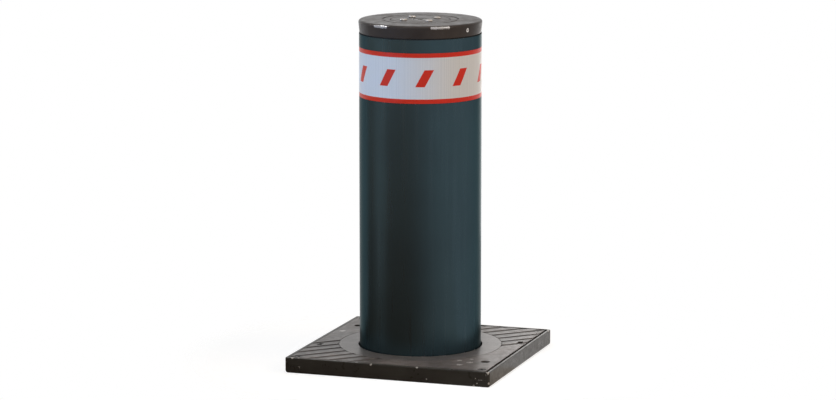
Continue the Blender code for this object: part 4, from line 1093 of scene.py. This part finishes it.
def anchor_path():
    """Down the casing's wall, out into the concrete and up in a hook, in the plane of radius and height."""
    low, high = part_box("anchor_bar_1")
    bar_r = ANCHOR_D / 2
    wall = CASING_R + FIT + bar_r
    tip = (high.x - bar_r / math.sqrt(2)) * math.sqrt(2)
    bottom = low.z + bar_r
    corners = [
        (wall, high.z, 0),
        (wall, bottom, ANCHOR_BEND),
        (tip, bottom, ANCHOR_BEND),
        (tip, bottom + ANCHOR_BEND + ANCHOR_HOOK, 0),
    ]
    route = rounded(corners)
    points = [Vector((route[0].x, 0, route[0].y))]
    for first, second in zip(route, route[1:]):
        span = second - first
        pieces = max(1, round(span.length / REBAR_PITCH * 4))
        for step in range(1, pieces + 1):
            spot = first + span * step / pieces
            points.append(Vector((spot.x, 0, spot.y)))
    return points


def ribbed(distance):
    """Radius of a ribbed bar, at most the plain bar's own."""
    wave = math.cos(math.tau * distance / REBAR_PITCH)
    return ANCHOR_D / 2 - REBAR_RIB * (0 if wave > 0.2 else 1)


def build_anchors():
    bar = swept("anchor", anchor_path(), ribbed, REBAR_SIDES)
    for index in range(4):
        turn = Matrix.Rotation(math.radians(45 + 90 * index), 4, "Z")
        add_piece(f"anchor_rebar_{index + 1}", moved(bar, turn), f"anchor_bar_{index + 1}")


def dress_frame():
    """Finish the nodes that keep their own shape."""
    for name, obj in NODES.items():
        if not obj.hide_render:
            obj.data.materials.clear()
            obj.data.materials.append(FINISHES[SLOT_OF[name]])


# Studio
def build_floor():
    """Pale disc at ground level, fading out towards its rim."""
    work = bmesh.new()
    bmesh.ops.create_circle(work, cap_ends=True, segments=LARGE_STEPS, radius=FLOOR_R)
    floor = placed("floor", finished("floor", work))
    paint = Paint("floor")
    nodes = paint.tree.nodes
    nodes.remove(paint.shader)
    distance = paint.add("VectorMath", {0: paint.place()}, operation="LENGTH").outputs["Value"]
    fade = paint.ramp(distance, FLOOR_SOLID_R, FLOOR_R)
    matt = paint.add("BsdfDiffuse", {"Color": (0.5, 0.5, 0.5, 1.0)}).outputs[0]
    path = paint.add("LightPath", {}).outputs
    mirrored = paint.math("MAXIMUM", path["Is Glossy Ray"], path["Is Transmission Ray"])
    seen = paint.math("MAXIMUM", path["Is Camera Ray"], mirrored)
    glow = paint.add("Emission", {"Strength": paint.math("MULTIPLY", seen, FLOOR_GLOW)}).outputs[0]
    lit = paint.add("AddShader", {0: matt, 1: glow}).outputs[0]
    clear = paint.add("BsdfTransparent", {}).outputs[0]
    shown = paint.add("MixShader", {0: fade, 1: lit, 2: clear}).outputs[0]
    paint.plug(nodes["Material Output"].inputs["Surface"], shown)
    floor.data.materials.append(paint.material)


def build_world():
    """White where it is seen, directly or in a reflection, and a dimmer grey as light."""
    world = bpy.data.worlds.new("studio")
    world.use_nodes = True
    bpy.context.scene.world = world
    tree = world.node_tree
    path = tree.nodes.new("ShaderNodeLightPath")
    seen = tree.nodes.new("ShaderNodeMath")
    seen.operation = "MAXIMUM"
    tree.links.new(path.outputs["Is Camera Ray"], seen.inputs[0])
    glossy = tree.nodes.new("ShaderNodeMath")
    glossy.operation = "MAXIMUM"
    tree.links.new(path.outputs["Is Glossy Ray"], glossy.inputs[0])
    tree.links.new(path.outputs["Is Transmission Ray"], glossy.inputs[1])
    tree.links.new(glossy.outputs[0], seen.inputs[1])
    strength = tree.nodes.new("ShaderNodeMapRange")
    tree.links.new(seen.outputs[0], strength.inputs["Value"])
    strength.inputs["To Min"].default_value = AMBIENT
    strength.inputs["To Max"].default_value = 1.0
    background = tree.nodes["Background"]
    background.inputs["Color"].default_value = (1.0, 1.0, 1.0, 1.0)
    tree.links.new(strength.outputs["Result"], background.inputs["Strength"])


def around(turn, rise, distance):
    """A place round the object, by degrees from the camera's side and degrees up."""
    camera = math.atan2(CAMERA_AT[1], CAMERA_AT[0])
    turn = camera + math.radians(turn)
    rise = math.radians(rise)
    return AIM + distance * Vector((
        math.cos(turn) * math.cos(rise), math.sin(turn) * math.cos(rise), math.sin(rise),
    ))


def add_lamp(name, place, size, power, color, aim=AIM, spread=180):
    light = bpy.data.lights.new(name, "AREA")
    light.shape = "RECTANGLE"
    light.size, light.size_y = size
    light.energy = power
    light.color = color
    light.spread = math.radians(spread)
    lamp = placed(name, light)
    lamp.location = place
    lamp.rotation_euler = (aim - place).to_track_quat("-Z", "Y").to_euler()
    lamp.visible_camera = False
    return lamp


def build_lamps():
    """Fills from both sides and over the plate's near corner, two sparks on the cap, and a kick from behind.

    The side fills show in no reflection, and the sparks show in nothing else.
    """
    band = Vector((0, 0, (BAND_TOP + BAND_FOOT) / 2))
    cap = Vector((0, 0, CAP_TOP))
    corner = Vector((0.15, -0.11, PLATE_TOP))
    over_corner = corner + around(-40, 72, 1.6) - AIM
    warm = add_lamp("warm_fill", around(70, 25, 3.0), size=(1.6, 2.0), power=22, color=(1.0, 0.68, 0.38))
    cool = add_lamp(
        "cool_fill", around(-56, 16, 1.1), size=(0.5, 0.3), power=0.50, color=(0.18, 0.48, 1.0),
        aim=band, spread=60,
    )
    left = add_lamp(
        "left_spark", around(-90, 45, 2.2), size=(0.5, 0.35), power=0.5, color=WHITE,
        aim=cap, spread=SPARK_SPREAD,
    )
    right = add_lamp(
        "right_spark", around(45, 45, 2.2), size=(0.6, 0.35), power=0.5, color=WHITE,
        aim=cap, spread=SPARK_SPREAD,
    )
    add_lamp(
        "plate_fill", over_corner, size=(0.5, 0.5), power=0.24, color=(1.0, 0.99, 1.0),
        aim=corner, spread=24,
    )
    add_lamp("back_kick", around(158, 0, 1.0), size=(0.5, 0.5), power=0.9, color=(1.0, 0.97, 0.94))
    warm.visible_glossy = False
    cool.visible_glossy = False
    left.visible_diffuse = False
    right.visible_diffuse = False


def flag_paint(name, level=None):
    """Glow of a card: dark at the foot, brighter upwards, in one upright stripe and towards its right end.

    Without a level, each point has its own height.
    """
    paint = Paint(name)
    camera = math.atan2(CAMERA_AT[1], CAMERA_AT[0])
    seen = paint.add("Mapping", {"Vector": paint.place(), "Rotation": (0, 0, -camera)}).outputs[0]
    toward, across, height = paint.add("SeparateXYZ", {0: seen}).outputs
    level = height if level is None else level
    turn = paint.math("DEGREES", paint.math("ARCTAN2", across, toward))
    risen = paint.ramp(level, FLAG_DARK_LEVEL, -0.16)
    shade = paint.mix(risen, (0.12, 0.04, 0.0, 1.0), (0.46, 0.31, 0.23, 1.0))
    shade = paint.mix(paint.ramp(level, 0.0, 0.35), shade, (1.0, 0.88, 0.77, 1.0))
    stripe = paint.math("MULTIPLY", paint.ramp(turn, -62, -72), paint.ramp(turn, -98, -88))
    stripe_risen = paint.ramp(level, -0.31, -0.18)
    stripe_shade = paint.mix(stripe_risen, (0.18, 0.08, 0.02, 1.0), (1.08, 1.0, 0.93, 1.0))
    shade = paint.mix(stripe, shade, stripe_shade)
    leaning = paint.math("ADD", turn, paint.math("MULTIPLY", level, FLAG_LEAN))
    lit = paint.ramp(level, FLAG_DARK_LEVEL, -0.22)
    bright = paint.mix(lit, (0.86, 0.78, 0.70, 1.0), (1.0, 1.0, 1.0, 1.0))
    shade = paint.mix(paint.ramp(leaning, -22, 32), shade, bright)
    paint.set(Base_Color=(0.0, 0.0, 0.0, 1.0), Specular_IOR_Level=0.0)
    paint.set(Emission_Color=shade, Emission_Strength=1.0)
    return paint.material


def build_flags():
    """Curved cards, one standing and one on the floor, that only reflections see.

    A photographer shades glossy paint in the same way.
    """
    standing = [(FLAG_R, FLAG_FOOT), (FLAG_R, FLAG_TOP)]
    lying = [(FRAME_HALF, FLAG_LIFT), (FLOOR_R, FLAG_LIFT)]
    cards = (("standing_flag", standing, None), ("lying_flag", lying, FLAG_DARK_LEVEL - FLAG_LIFT))
    for name, rims, level in cards:
        work = bmesh.new()
        columns = []
        for turn in range(FLAG_LEFT, FLAG_RIGHT + 1, FLAG_STEP):
            spots = [(around(turn, 0, radius), height) for radius, height in rims]
            columns.append([work.verts.new((spot.x, spot.y, height)) for spot, height in spots])
        for (low, high), (next_low, next_high) in zip(columns, columns[1:]):
            work.faces.new((low, next_low, next_high, high))
        flag = placed(name, finished(name, work))
        flag.data.materials.append(flag_paint(name, level))
        flag.visible_camera = False
        flag.visible_diffuse = False
        flag.visible_shadow = False


def build_camera():
    lens = bpy.data.cameras.new("camera")
    lens.lens = CAMERA_LENS
    lens.sensor_width = SENSOR
    camera = placed("camera", lens)
    camera.location = CAMERA_AT
    camera.rotation_euler = (math.pi / 2 - CAMERA_PITCH, 0, CAMERA_TURN)
    bpy.context.scene.camera = camera


build_post()
build_band()
build_gasket()
build_cap()
build_lock_cover()
build_lock_screws()
build_key_rotor()
build_grub_screws()
build_plate()
build_cover_screws()
build_ring()
build_frame()
build_casing()
build_flange_and_base()
build_welds()
build_anchors()
dress_frame()
build_floor()
build_world()
build_lamps()
build_flags()
build_camera()
bpy.context.scene.view_settings.view_transform = "Standard"
